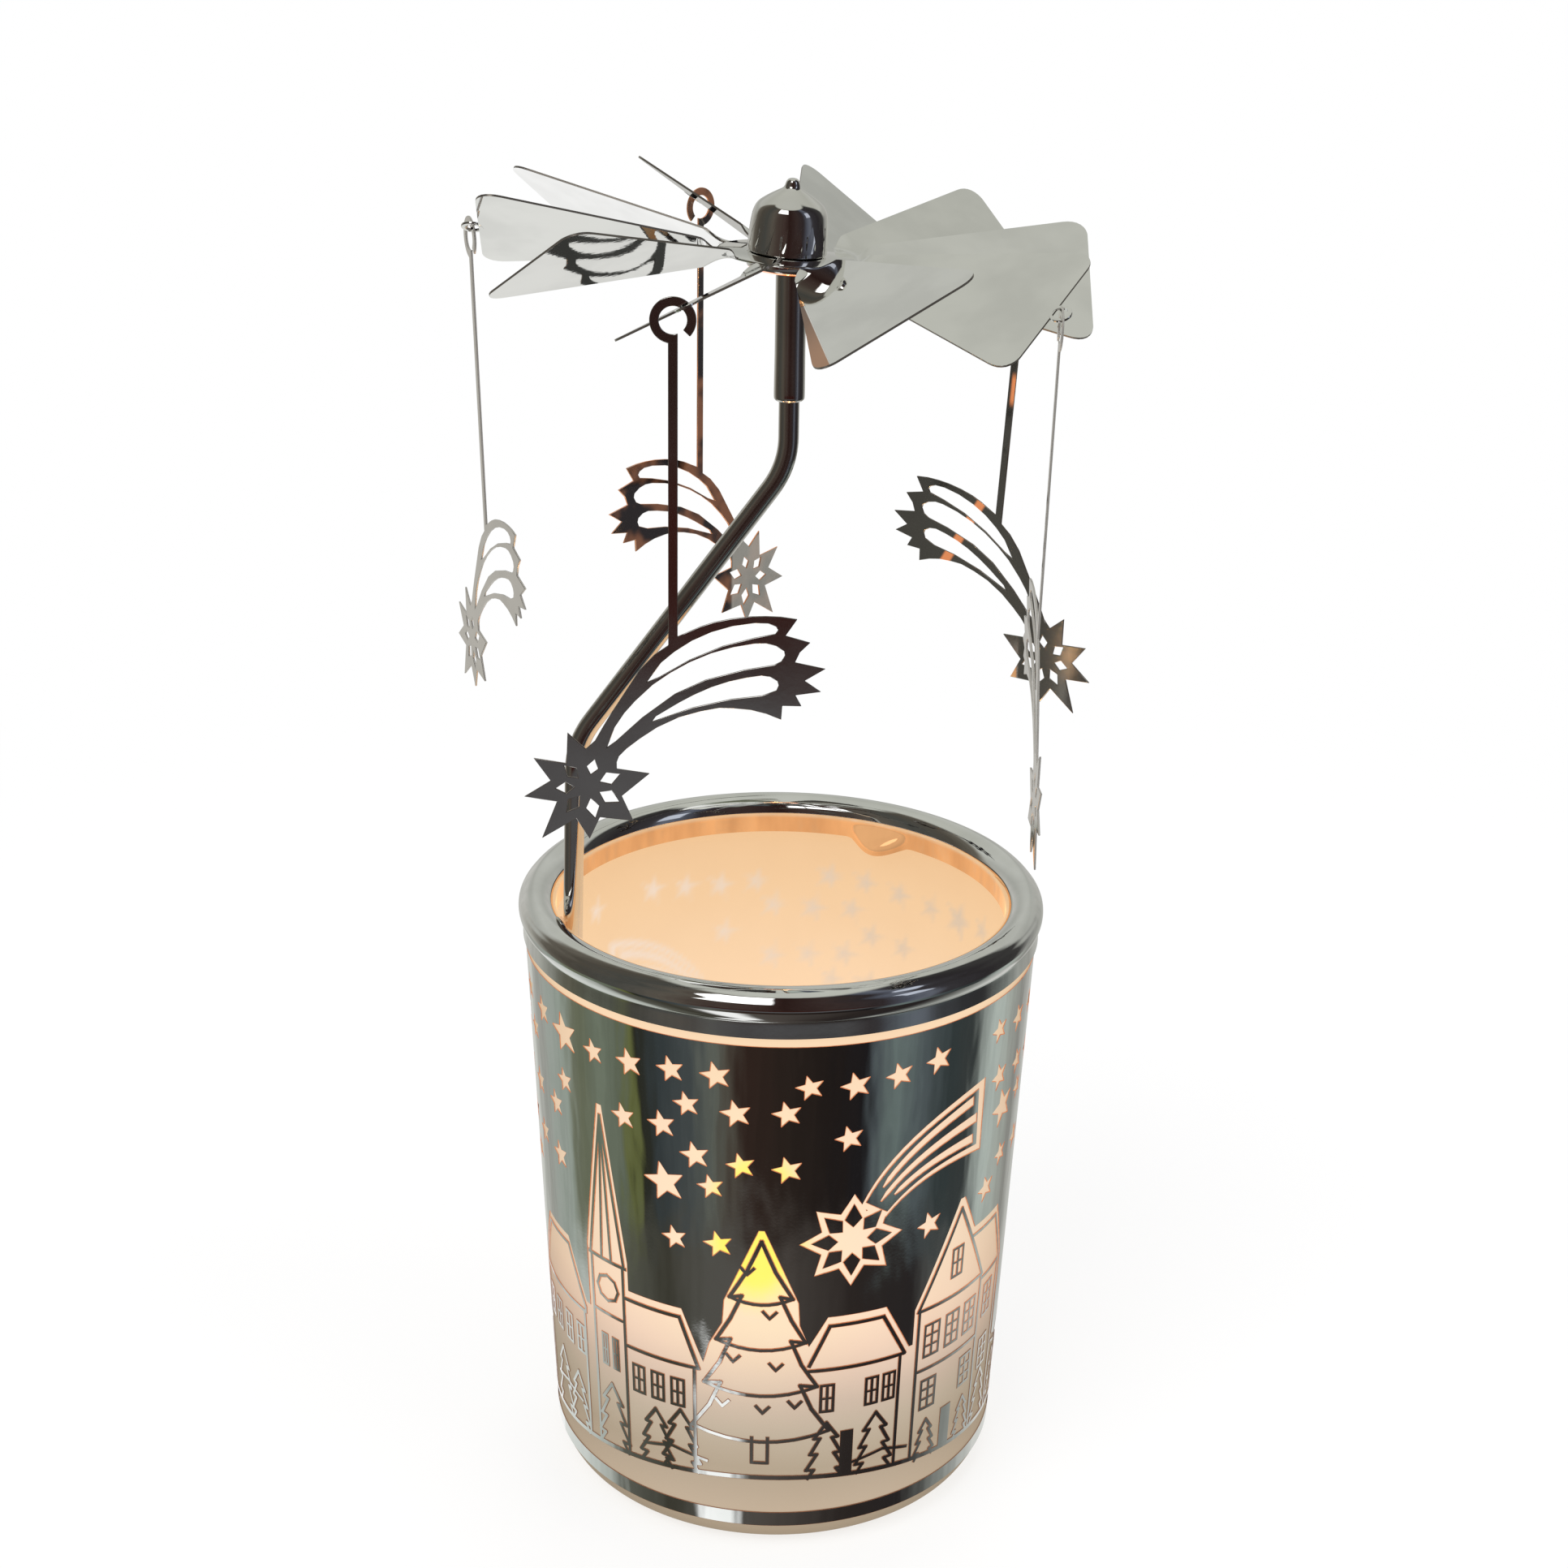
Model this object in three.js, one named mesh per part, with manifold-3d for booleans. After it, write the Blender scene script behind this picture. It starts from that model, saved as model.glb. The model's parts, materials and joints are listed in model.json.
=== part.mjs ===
// Rotating candle lantern: a frosted glass jar with a mirror film, a rim ring that carries a bent
// rod, and a stamped ten-blade rotor that balances on a needle and carries five hanging comets.
// Millimetres, +Z up, origin at the centre of the jar's underside. Azimuths are in degrees from +X.

import * as THREE from "three";
import { mergeVertices } from "three/addons/utils/BufferGeometryUtils.js";
import Module from "manifold-3d";

// ---------------------------------------------------------------- driving dimensions
const JAR_TOP_R = 33.0; // outer radius of the glass at the top edge of the mirror film
const JAR_TOP_Z = 74.3;
const JAR_LOW_R = 29.98; // outer radius at the top edge of the lower film band
const JAR_LOW_Z = 5.3;
const JAR_WALL = 2.6;
const JAR_LIP_Z = 80.7;
const JAR_FLOOR_Z = 4.0;
const JAR_SEGMENTS = 48; // also used for the film and the rim ring

const FILM_GAP = 0.06; // film stands this far off the glass
const FILM_T = 0.14;
const FILM_UPPER_Z = 43.0; // lower edge of the closed part of the film
const FILM_BAND_Z = 3.5; // lower edge of the band at the foot

const TEALIGHT_R = 19.3;
const TEALIGHT_H = 15.6;
const TEALIGHT_LIFT = 0.1; // clearance over the jar's floor
const TEALIGHT_SEGMENTS = 28;
const WICK_TAB_SEGMENTS = 16;
const WICK_SEGMENTS = 10;

const SKIRT_R = 33.5; // outside of the rim ring's skirt
const SKIRT_Z = 75.6;
const RING_CROWN_Z = 81.6;
const RING_INNER_R = 29.2;

const ROD_R = 1.25;
const ROD_AZ = 195; // azimuth of the rod's foot and its weld pad
const ROD_FOOT_R = 27.5; // distance of the upright's foot from the jar's axis
const ROD_FOOT_Z = 74.9;
const ROD_LOW_BEND_R = 26.8; // the upright leans a little inwards
const ROD_LOW_BEND_Z = 102.7;
const ROD_TOP_BEND_Z = 136.7;
const ROD_TOP_Z = 151.6;
const ROD_BEND_RUN = 3.6; // each bend starts this far from its corner
const SLEEVE_BOTTOM_Z = 144.8;
const SLEEVE_TOP_Z = 163.6;
const PIVOT_Z = 170.0; // tip of the needle, where the rotor balances
const PIVOT_SEGMENTS = 16; // sleeve and needle

const ROTOR_LEAN_X = 1.18; // degrees: the loose rotor rests a little out of level
const ROTOR_LEAN_Y = 4.33;
const SHEET_Z = -7.8; // mid-plane of the rotor sheet, from the pivot
const SHEET_T = 0.4;
const SHEET_DISC_R = 8.3;
const HUB_BORE_R = 3.2; // through the sheet and the collar
const HUB_GAP = 0.12; // between the sheet and the cap or the collar
const HUB_SEGMENTS = 28;

const BLADES = 10;
const BLADE_PITCH = 31.9; // degrees about each blade's own radius
const BLADE_PHASE = 1.75; // azimuth of the first blade
// Distances out along a blade, and its half widths there.
const BLADE_NECK_START = 7.3;
const BLADE_NECK_END = 8.9;
const BLADE_NECK_HALF = 1.15;
const BLADE_ROOT = 10.2;
const BLADE_ROOT_HALF = 2.7;
const BLADE_END = 36.35;
const BLADE_END_HALF = 10.75;
const BLADE_CREST = BLADE_END + 0.35; // the end rises to this at mid-width
const BLADE_CORNER = 3.0; // corner rounding, across the blade
const BLADE_CORNER_RUN = BLADE_CORNER * 1.1; // the same, along the blade
const BLADE_CORNER_PULL = 0.2; // the rounding's control point lies this far inside the end
const EAR_CENTRE = 37.1;
const EAR_R = 1.35;
const EAR_HOLE_R = 0.92;

const CHARM_T = 0.4;
const CHARM_RING_OUT = 2.5;
const CHARM_RING_IN = 1.5;
const CHARM_RING_END_AZ = -44; // free end of the open ring, in the comet's own plane
const CHARM_STEM_HALF = 0.52;
// An ear hole to the centre of its comet's ring: this far against the tail and this far down.
const CHARM_HANG = 1.414;
// turn: degrees off the tangent, tail inwards. lean: degrees out of plumb, with the lower end
// towards azimuth leanAz.
const CHARMS = [
  { blade: 5, turn: 20.3, lean: 1.5, leanAz: 1.75 },
  { blade: 3, turn: 27, lean: 0, leanAz: 0 },
  { blade: 7, turn: 19, lean: 0, leanAz: 0 },
  { blade: 1, turn: 14, lean: 5.5, leanAz: 118 },
  { blade: 9, turn: 34, lean: 1.2, leanAz: 145.75 },
];

// ---------------------------------------------------------------- materials
const CHROME = { color: 0xb9bcb6, roughness: 0.08, metalness: 1 };
const STEEL = { color: 0x8f908c, roughness: 0.22, metalness: 1 };
const FROSTED_GLASS = { color: 0xe9dccb, roughness: 0.6, metalness: 0 };
const MIRROR_FILM = { color: 0x9aa29f, roughness: 0.05, metalness: 1 };
const CUP_METAL = { color: 0xc9cbcc, roughness: 0.3, metalness: 1 };
const TAB_METAL = { color: 0xb8babb, roughness: 0.35, metalness: 1 };
const WAX = { color: 0xf6efe0, roughness: 0.45, metalness: 0 };
const WICK = { color: 0x2d2620, roughness: 0.95, metalness: 0 };

// ---------------------------------------------------------------- helpers
const wasm = await Module();
wasm.setup();
const rad = THREE.MathUtils.degToRad;
const deg = THREE.MathUtils.radToDeg;
const vec2 = (x, y) => new THREE.Vector2(x, y);
const vec3 = (x, y, z) => new THREE.Vector3(x, y, z);
const polar = (radius, azimuth, z) =>
  vec3(radius * Math.cos(rad(azimuth)), radius * Math.sin(rad(azimuth)), z);

// Six times the volume that an indexed surface encloses; negative if it faces inwards.
function signedVolume(position, index) {
  const [a, b, c] = [vec3(), vec3(), vec3()];
  let sum = 0;
  for (let i = 0; i < index.length; i += 3) {
    a.fromBufferAttribute(position, index[i]);
    b.fromBufferAttribute(position, index[i + 1]);
    c.fromBufferAttribute(position, index[i + 2]);
    sum += a.dot(b.cross(c));
  }
  return sum;
}

// A closed, outward-facing, position-only copy of a geometry.
function closed(geometry) {
  const bare = geometry.clone();
  bare.deleteAttribute("normal");
  bare.deleteAttribute("uv");
  const merged = mergeVertices(bare, 1e-4);
  const source = merged.index.array;
  const index = [];
  for (let i = 0; i < source.length; i += 3) {
    const [a, b, c] = [source[i], source[i + 1], source[i + 2]];
    if (a !== b && b !== c && a !== c) index.push(a, b, c);
  }
  if (signedVolume(merged.attributes.position, index) < 0) {
    for (let i = 0; i < index.length; i += 3) {
      [index[i + 1], index[i + 2]] = [index[i + 2], index[i + 1]];
    }
  }
  merged.setIndex(index);
  return merged;
}

// Geometry to Manifold solid, for the boolean operations.
function toSolid(geometry) {
  const mesh = closed(geometry);
  return new wasm.Manifold(
    new wasm.Mesh({
      numProp: 3,
      vertProperties: new Float32Array(mesh.attributes.position.array),
      triVerts: new Uint32Array(mesh.index.array),
    }),
  );
}

// Manifold solid back to geometry.
function fromSolid(solid) {
  const mesh = solid.getMesh();
  const geometry = new THREE.BufferGeometry();
  const positions = new Float32Array(mesh.vertProperties);
  geometry.setAttribute("position", new THREE.BufferAttribute(positions, 3));
  geometry.setIndex(Array.from(mesh.triVerts));
  return geometry;
}

// Body of revolution about +Z from [radius, height] pairs. An open profile starts and ends on the
// axis.
function turned(profile, segments) {
  const geometry = new THREE.LatheGeometry(profile.map(([r, z]) => vec2(r, z)), segments);
  geometry.rotateX(Math.PI / 2);
  return closed(geometry);
}

// The same for a section clear of the axis, which closes on its first point.
const turnedRing = (profile, segments) => turned([...profile, profile[0]], segments);

// Shape extruded evenly to both sides of its plane.
function prism(shape, thickness, curveSegments = 5) {
  const geometry = new THREE.ExtrudeGeometry(shape, {
    depth: thickness,
    bevelEnabled: false,
    curveSegments,
  });
  geometry.translate(0, 0, -thickness / 2);
  return geometry;
}

function circleHole(x, y, radius) {
  const hole = new THREE.Path();
  hole.absarc(x, y, radius, 0, Math.PI * 2, true);
  return hole;
}

function polygonHole(points) {
  const hole = new THREE.Path(points);
  hole.closePath();
  return hole;
}

function addPiece(parent, name, geometry, look) {
  geometry.computeVertexNormals();
  const mesh = new THREE.Mesh(geometry, new THREE.MeshStandardMaterial(look));
  mesh.name = name;
  parent.add(mesh);
  return mesh;
}

// ---------------------------------------------------------------- jar and film
// Outside radius of the glass at a height.
const glassR = (z) =>
  JAR_LOW_R + ((JAR_TOP_R - JAR_LOW_R) * (z - JAR_LOW_Z)) / (JAR_TOP_Z - JAR_LOW_Z);

function jarGlass() {
  const outside = [
    [0, 0], [25.9, 0], [28.0, 0.6], [29.2, 1.8], [glassR(3.4), 3.4],
    [JAR_LOW_R, JAR_LOW_Z], [JAR_TOP_R, JAR_TOP_Z], [32.6, 76.0], [32.45, 79.5],
  ];
  const lip = [[31.4, JAR_LIP_Z], [30.6, 80.2]];
  const inside = [
    [30.35, 78.4], [glassR(10) - JAR_WALL, 10], [26.8, 6.2], [23.8, JAR_FLOOR_Z],
    [0, JAR_FLOOR_Z],
  ];
  return turned([...outside, ...lip, ...inside], JAR_SEGMENTS);
}

function filmSleeve(bottom, top) {
  const inner = (z) => glassR(z) + FILM_GAP;
  const outer = (z) => inner(z) + FILM_T;
  return turnedRing(
    [[inner(bottom), bottom], [outer(bottom), bottom], [outer(top), top], [inner(top), top]],
    JAR_SEGMENTS,
  );
}

// ---------------------------------------------------------------- candle
// Heights are from the underside of the tealight's cup.
function tealightCup() {
  return turned(
    [
      [0, 0], [TEALIGHT_R - 1.0, 0], [TEALIGHT_R - 0.3, 0.7], [TEALIGHT_R, TEALIGHT_H],
      [TEALIGHT_R + 0.25, TEALIGHT_H + 0.3], [TEALIGHT_R - 0.1, TEALIGHT_H + 0.4],
      [TEALIGHT_R - 0.35, TEALIGHT_H], [TEALIGHT_R - 0.65, 0.9], [TEALIGHT_R - 1.2, 0.35],
      [0, 0.35],
    ],
    TEALIGHT_SEGMENTS,
  );
}

// The wax is open round the wick and its tab.
function tealightWax() {
  const body = turned(
    [
      [0, 0.6], [TEALIGHT_R - 1.3, 0.6], [TEALIGHT_R - 0.8, 1.6], [TEALIGHT_R - 0.7, 12.6],
      [TEALIGHT_R - 1.6, 12.2], [0, 12.0],
    ],
    TEALIGHT_SEGMENTS,
  );
  const well = turned(
    [[0, 0.2], [6.6, 0.2], [6.6, 1.5], [1.9, 1.7], [1.9, 4.3], [1.25, 4.6], [1.25, 13], [0, 13]],
    WICK_TAB_SEGMENTS,
  );
  return fromSolid(toSolid(body).subtract(toSolid(well)));
}

function wickTab() {
  return turnedRing(
    [[1.0, 0.62], [6.2, 0.62], [6.2, 0.92], [1.7, 1.0], [1.55, 3.9], [1.0, 3.9]],
    WICK_TAB_SEGMENTS,
  );
}

function wick() {
  return turned(
    [[0, 0.7], [0.7, 0.7], [0.72, 12.0], [0.62, 15.0], [0.45, 17.2], [0, 17.6]],
    WICK_SEGMENTS,
  );
}

function buildCandle() {
  const candle = new THREE.Group();
  candle.position.z = JAR_FLOOR_Z + TEALIGHT_LIFT;
  addPiece(candle, "tealight_cup", tealightCup(), CUP_METAL);
  addPiece(candle, "tealight_wax", tealightWax(), WAX);
  addPiece(candle, "wick_tab", wickTab(), TAB_METAL);
  addPiece(candle, "wick", wick(), WICK);
  return candle;
}

// ---------------------------------------------------------------- rim ring
// Grip dimples: ellipsoids at the ring's inner wall, cut off by a cylinder inside the sheet.
const DIMPLE = {
  azimuths: [62, 302],
  radial: 1.9, // half sizes
  across: 4.0,
  upright: 2.6,
  centreR: 29.5,
  centreZ: 77.7,
  limitR: 29.6,
  limitBottomZ: 75.5,
  limitTopZ: 79.7,
};
// Weld pad between the ring and the rod's foot, hollowed to seat the rod.
const PAD = { radial: 1.3, across: 2.0, height: 2.0, centreR: 28.9, centreZ: 77.9 };
const PAD_SEAT = { clearance: 0.2, length: 12, centreZ: 78, segments: 24 };

function ringSection() {
  const outside = [
    [SKIRT_R, SKIRT_Z], [33.45, 77.8], [33.9, 78.5], [34.0, 79.4], [33.6, 80.9],
    [32.5, RING_CROWN_Z], [31.0, 81.45], [29.7, 80.7], [RING_INNER_R, 79.6],
    [RING_INNER_R, 76.7],
  ];
  const underside = [
    [29.62, 76.7], [29.65, 79.5], [30.0, 80.35], [31.1, 81.0], [32.4, 81.15], [33.25, 80.6],
    [33.58, 79.4], [33.06, 78.1], [33.1, SKIRT_Z],
  ];
  return [...outside, ...underside];
}

function dimple(azimuth) {
  const boss = new THREE.SphereGeometry(1, 12, 8);
  boss.scale(DIMPLE.radial, DIMPLE.across, DIMPLE.upright);
  boss.translate(DIMPLE.centreR, 0, DIMPLE.centreZ);
  boss.rotateZ(rad(azimuth));
  const limit = turned(
    [
      [0, DIMPLE.limitBottomZ], [DIMPLE.limitR, DIMPLE.limitBottomZ],
      [DIMPLE.limitR, DIMPLE.limitTopZ], [0, DIMPLE.limitTopZ],
    ],
    JAR_SEGMENTS,
  );
  return toSolid(boss).intersect(toSolid(limit));
}

function weldPad() {
  const pad = new THREE.BoxGeometry(PAD.radial, PAD.across, PAD.height);
  pad.translate(PAD.centreR, 0, PAD.centreZ);
  pad.rotateZ(rad(ROD_AZ));
  const seatR = ROD_R + PAD_SEAT.clearance;
  const seat = new THREE.CylinderGeometry(seatR, seatR, PAD_SEAT.length, PAD_SEAT.segments);
  seat.rotateX(Math.PI / 2);
  const centre = polar(ROD_FOOT_R, ROD_AZ, PAD_SEAT.centreZ);
  seat.translate(centre.x, centre.y, centre.z);
  return toSolid(pad).subtract(toSolid(seat));
}

function rimRing() {
  let ring = toSolid(turnedRing(ringSection(), JAR_SEGMENTS));
  for (const azimuth of DIMPLE.azimuths) ring = ring.add(dimple(azimuth));
  return fromSolid(ring.add(weldPad()));
}

// ---------------------------------------------------------------- rod, sleeve and needle
// Upright, slant to the jar's axis, then a vertical end, with rounded bends between.
function rodPath() {
  const foot = polar(ROD_FOOT_R, ROD_AZ, ROD_FOOT_Z);
  const low = polar(ROD_LOW_BEND_R, ROD_AZ, ROD_LOW_BEND_Z);
  const high = vec3(0, 0, ROD_TOP_BEND_Z);
  const top = vec3(0, 0, ROD_TOP_Z);
  const from = (corner, target) => {
    const direction = target.clone().sub(corner).normalize();
    return corner.clone().addScaledVector(direction, ROD_BEND_RUN);
  };
  const lowStart = from(low, foot);
  const lowEnd = from(low, high);
  const highStart = from(high, low);
  const highEnd = from(high, top);
  const path = new THREE.CurvePath();
  path.add(new THREE.LineCurve3(foot, lowStart));
  path.add(new THREE.QuadraticBezierCurve3(lowStart, low, lowEnd));
  path.add(new THREE.LineCurve3(lowEnd, highStart));
  path.add(new THREE.QuadraticBezierCurve3(highStart, high, highEnd));
  path.add(new THREE.LineCurve3(highEnd, top));
  // A CurvePath's getPoint already goes by length, so the sweep uses it unmapped.
  path.getPointAt = path.getPoint;
  path.getTangentAt = path.getTangent;
  return path;
}

function supportRod() {
  const section = new THREE.Shape();
  section.absarc(0, 0, ROD_R, 0, Math.PI * 2, false);
  return closed(
    new THREE.ExtrudeGeometry(section, {
      steps: 34,
      curveSegments: 6,
      bevelEnabled: false,
      extrudePath: rodPath(),
    }),
  );
}

function rodSleeve() {
  return turnedRing(
    [
      [1.4, SLEEVE_BOTTOM_Z], [1.82, SLEEVE_BOTTOM_Z], [1.88, 145.3], [1.86, 147.6],
      [1.74, 148.2], [1.7, SLEEVE_TOP_Z - 0.2], [1.55, SLEEVE_TOP_Z], [0.78, SLEEVE_TOP_Z],
      [0.78, 152.6], [1.4, 152.0],
    ],
    PIVOT_SEGMENTS,
  );
}

function pivotNeedle() {
  return turned(
    [[0, 153.4], [0.62, 153.4], [0.62, 167.2], [0.25, 169.2], [0, PIVOT_Z]],
    PIVOT_SEGMENTS,
  );
}

// ---------------------------------------------------------------- rotor
const bladeAzimuth = (i) => BLADE_PHASE + (360 / BLADES) * i;

// One blade in its own plane: x along its radius, y across it.
function bladeShape(withEar) {
  const cornerX = BLADE_END - BLADE_CORNER_RUN;
  const flare = (BLADE_END_HALF - BLADE_ROOT_HALF) / (BLADE_END - BLADE_ROOT);
  const cornerHalf = BLADE_ROOT_HALF + flare * (cornerX - BLADE_ROOT);
  const endHalf = BLADE_END_HALF - BLADE_CORNER;
  const pullX = BLADE_END - BLADE_CORNER_PULL;
  const shape = new THREE.Shape();
  shape.moveTo(BLADE_NECK_START, -BLADE_NECK_HALF);
  shape.lineTo(BLADE_NECK_END, -BLADE_NECK_HALF);
  shape.lineTo(BLADE_ROOT, -BLADE_ROOT_HALF);
  shape.lineTo(cornerX, -cornerHalf);
  shape.quadraticCurveTo(pullX, -BLADE_END_HALF, BLADE_END, -endHalf);
  if (withEar) {
    const earX = BLADE_CREST - EAR_CENTRE;
    const earHalf = Math.sqrt(EAR_R ** 2 - earX ** 2);
    const earAngle = Math.atan2(earHalf, earX);
    shape.lineTo(BLADE_CREST, -earHalf);
    shape.absarc(EAR_CENTRE, 0, EAR_R, -earAngle, earAngle, false);
    shape.holes.push(circleHole(EAR_CENTRE, 0, EAR_HOLE_R));
  } else {
    shape.lineTo(BLADE_CREST, 0);
  }
  shape.lineTo(BLADE_END, endHalf);
  shape.quadraticCurveTo(pullX, BLADE_END_HALF, cornerX, cornerHalf);
  shape.lineTo(BLADE_ROOT, BLADE_ROOT_HALF);
  shape.lineTo(BLADE_NECK_END, BLADE_NECK_HALF);
  shape.lineTo(BLADE_NECK_START, BLADE_NECK_HALF);
  shape.closePath();
  return shape;
}

function rotorSheet() {
  const disc = new THREE.Shape();
  disc.absarc(0, 0, SHEET_DISC_R, 0, Math.PI * 2, false);
  disc.holes.push(circleHole(0, 0, HUB_BORE_R));
  let sheet = toSolid(prism(disc, SHEET_T, 14));
  for (let i = 0; i < BLADES; i++) {
    const withEar = CHARMS.some(({ blade }) => blade === i);
    const blade = prism(bladeShape(withEar), SHEET_T);
    blade.rotateX(rad(BLADE_PITCH));
    blade.rotateZ(rad(bladeAzimuth(i)));
    sheet = sheet.add(toSolid(blade));
  }
  return fromSolid(sheet);
}

// Heights are from the cap's rim.
function hubCap() {
  const outside = [
    [0, 8.5], [0.55, 8.42], [1.2, 8.15], [2.6, 7.3], [3.95, 6.1],
    [4.5, 4.7], [4.72, 2.6], [4.76, 0.7], [5.0, 0.45], [5.0, 0],
  ];
  const inside = [
    [4.3, 0], [4.28, 2.6], [4.05, 4.5], [3.5, 5.75],
    [2.3, 6.7], [1.0, 7.35], [0.4, 7.55], [0, 7.72],
  ];
  return turned([...outside, ...inside], HUB_SEGMENTS);
}

function hubCollar() {
  const underside = SHEET_Z - SHEET_T / 2;
  const bottom = underside - 1.6;
  const top = underside - HUB_GAP;
  return turnedRing(
    [[HUB_BORE_R, bottom], [4.0, bottom], [4.3, bottom + 0.4], [4.35, top], [HUB_BORE_R, top]],
    HUB_SEGMENTS,
  );
}

// The group's origin is the pivot.
function buildRotor() {
  const rotor = new THREE.Group();
  rotor.position.set(0, 0, PIVOT_Z);
  rotor.quaternion.setFromAxisAngle(
    vec3(ROTOR_LEAN_X, ROTOR_LEAN_Y, 0).normalize(),
    rad(Math.hypot(ROTOR_LEAN_X, ROTOR_LEAN_Y)),
  );
  addPiece(rotor, "rotor_blades", rotorSheet(), CHROME).position.z = SHEET_Z;
  const cap = addPiece(rotor, "hub_cap", hubCap(), CHROME);
  cap.position.z = SHEET_Z + SHEET_T / 2 + HUB_GAP;
  addPiece(rotor, "hub_collar", hubCollar(), CHROME);
  return rotor;
}

// ---------------------------------------------------------------- hanging comets
// The comet in its own plane: x towards its tail, y up, origin at the centre of its hanging ring.
// [x, y] round the comet, from the tail side of the stem to its other side.
const COMET_OUTLINE = [
  [CHARM_STEM_HALF, -34.9], [1.85, -34.3], [3.05, -33.75], [4.5, -33.25], [6.4, -32.85],
  [8.5, -32.6], [10.2, -32.55], [11.9, -32.62], [13.72, -32.9], [12.45, -34.8], [15.2, -35.6],
  [14.05, -36.75], [13.55, -37.9], [16.95, -38.65], [14.65, -40.05], [16.5, -41.35],
  [13.65, -41.75], [14.35, -43.05], [12.2, -43.0], [12.1, -44.65], [10.4, -43.95],
  [8.7, -43.5], [6.75, -43.3], [5.15, -43.25], [3.1, -43.65], [0.7, -44.35], [-1.75, -45.55],
  [-3.7, -46.9], [-5.2, -48.1], [-6.05, -49.0], [-6.3, -49.7], [-6.3, -50.5], [-2.62, -51.07],
  [-5.77, -53.78], [-4.47, -56.8], [-8.26, -56.36], [-9.45, -59.0], [-10.95, -56.5],
  [-14.85, -58.9], [-13.1, -54.47], [-16.75, -53.84], [-13.76, -51.93], [-15.61, -49.21],
  [-11.95, -49.83], [-11.78, -46.18], [-9.75, -48.1], [-8.73, -47.15], [-7.86, -45.57],
  [-6.88, -43.87], [-5.17, -41.13], [-3.71, -38.8], [-2.02, -36.98], [-CHARM_STEM_HALF, -35.93],
];
// [x, y] round each of the three long slots in the tail, upper slot first.
const TAIL_SLOTS = [
  [
    [-2.86, -40.2], [-1.3, -37.95], [0.15, -36.7], [2.1, -35.4], [4.25, -34.4], [6.6, -33.7],
    [9.0, -33.35], [10.5, -33.4], [11.35, -33.75], [11.6, -34.15], [11.3, -34.6], [9.0, -35.05],
    [5.5, -36.0], [1.85, -37.6], [-1.5, -39.6],
  ],
  [
    [-7.35, -47.9], [-6.5, -45.55], [-5.4, -43.85], [-4.2, -42.45], [-2.25, -40.55],
    [-0.3, -39.15], [1.85, -37.9], [4.25, -36.85], [6.65, -36.15], [9.05, -35.72], [10.3, -35.7],
    [11.4, -36.0], [12.3, -36.6], [12.4, -37.1], [12.0, -37.8], [11.2, -38.2], [8.0, -38.75],
    [3.6, -39.95], [0.2, -41.6], [-3.45, -44.4], [-6.4, -47.2],
  ],
  [
    [-2.3, -44.85], [-1.9, -44.25], [0.65, -42.65], [2.35, -41.7], [4.3, -40.8], [6.2, -40.15],
    [8.15, -39.7], [9.8, -39.45], [10.8, -39.6], [11.6, -40.1], [11.75, -40.6], [11.5, -41.2],
    [9.9, -41.8], [6.5, -42.2], [2.2, -43.2],
  ],
];
const STAR_CENTRE = vec2(-9.6, -52.6);
// Narrow kite windows round the middle of the star: [azimuth, inner radius, outer radius, half
// width].
const STAR_KITES = [
  [22, 1.5, 3.9, 0.75], [-28, 1.5, 4.0, 0.8], [-78, 1.5, 3.9, 0.75], [-128, 1.5, 3.9, 0.75],
  [-176, 1.5, 3.6, 0.7], [136, 1.5, 3.6, 0.7], [76, 1.5, 3.3, 0.65],
];
const KITE_WIDEST = 0.45; // fraction of a kite's length at which it is widest

function arcPoints(radius, from, to, steps) {
  return Array.from({ length: steps + 1 }, (_, i) => {
    const { x, y } = polar(radius, from + ((to - from) * i) / steps, 0);
    return vec2(x, y);
  });
}

function kiteHole([azimuth, inner, outer, half]) {
  const at = (along, across) =>
    vec2(along, across).rotateAround(vec2(0, 0), rad(azimuth)).add(STAR_CENTRE);
  const widest = inner * (1 - KITE_WIDEST) + outer * KITE_WIDEST;
  return polygonHole([at(inner, 0), at(widest, half), at(outer, 0), at(widest, -half)]);
}

function cometShape() {
  const toPoints = (pairs) => pairs.map(([x, y]) => vec2(x, y));
  const stemAngle = (radius) => deg(Math.asin(CHARM_STEM_HALF / radius));
  const ringEnd = CHARM_RING_END_AZ - 360;
  // Over the ring's outside to its free end, and back along its inside to the stem.
  const points = [
    ...toPoints(COMET_OUTLINE),
    ...arcPoints(CHARM_RING_OUT, -90 - stemAngle(CHARM_RING_OUT), ringEnd, 22),
    ...arcPoints(CHARM_RING_IN, ringEnd, stemAngle(CHARM_RING_IN) - 90, 18),
  ];
  const shape = new THREE.Shape(points.reverse());
  for (const slot of TAIL_SLOTS) shape.holes.push(polygonHole(toPoints(slot)));
  for (const kite of STAR_KITES) shape.holes.push(kiteHole(kite));
  return shape;
}

function cometGeometry() {
  const geometry = prism(cometShape(), CHARM_T);
  geometry.rotateX(Math.PI / 2); // plane x-y becomes x-z
  return closed(geometry);
}

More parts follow.
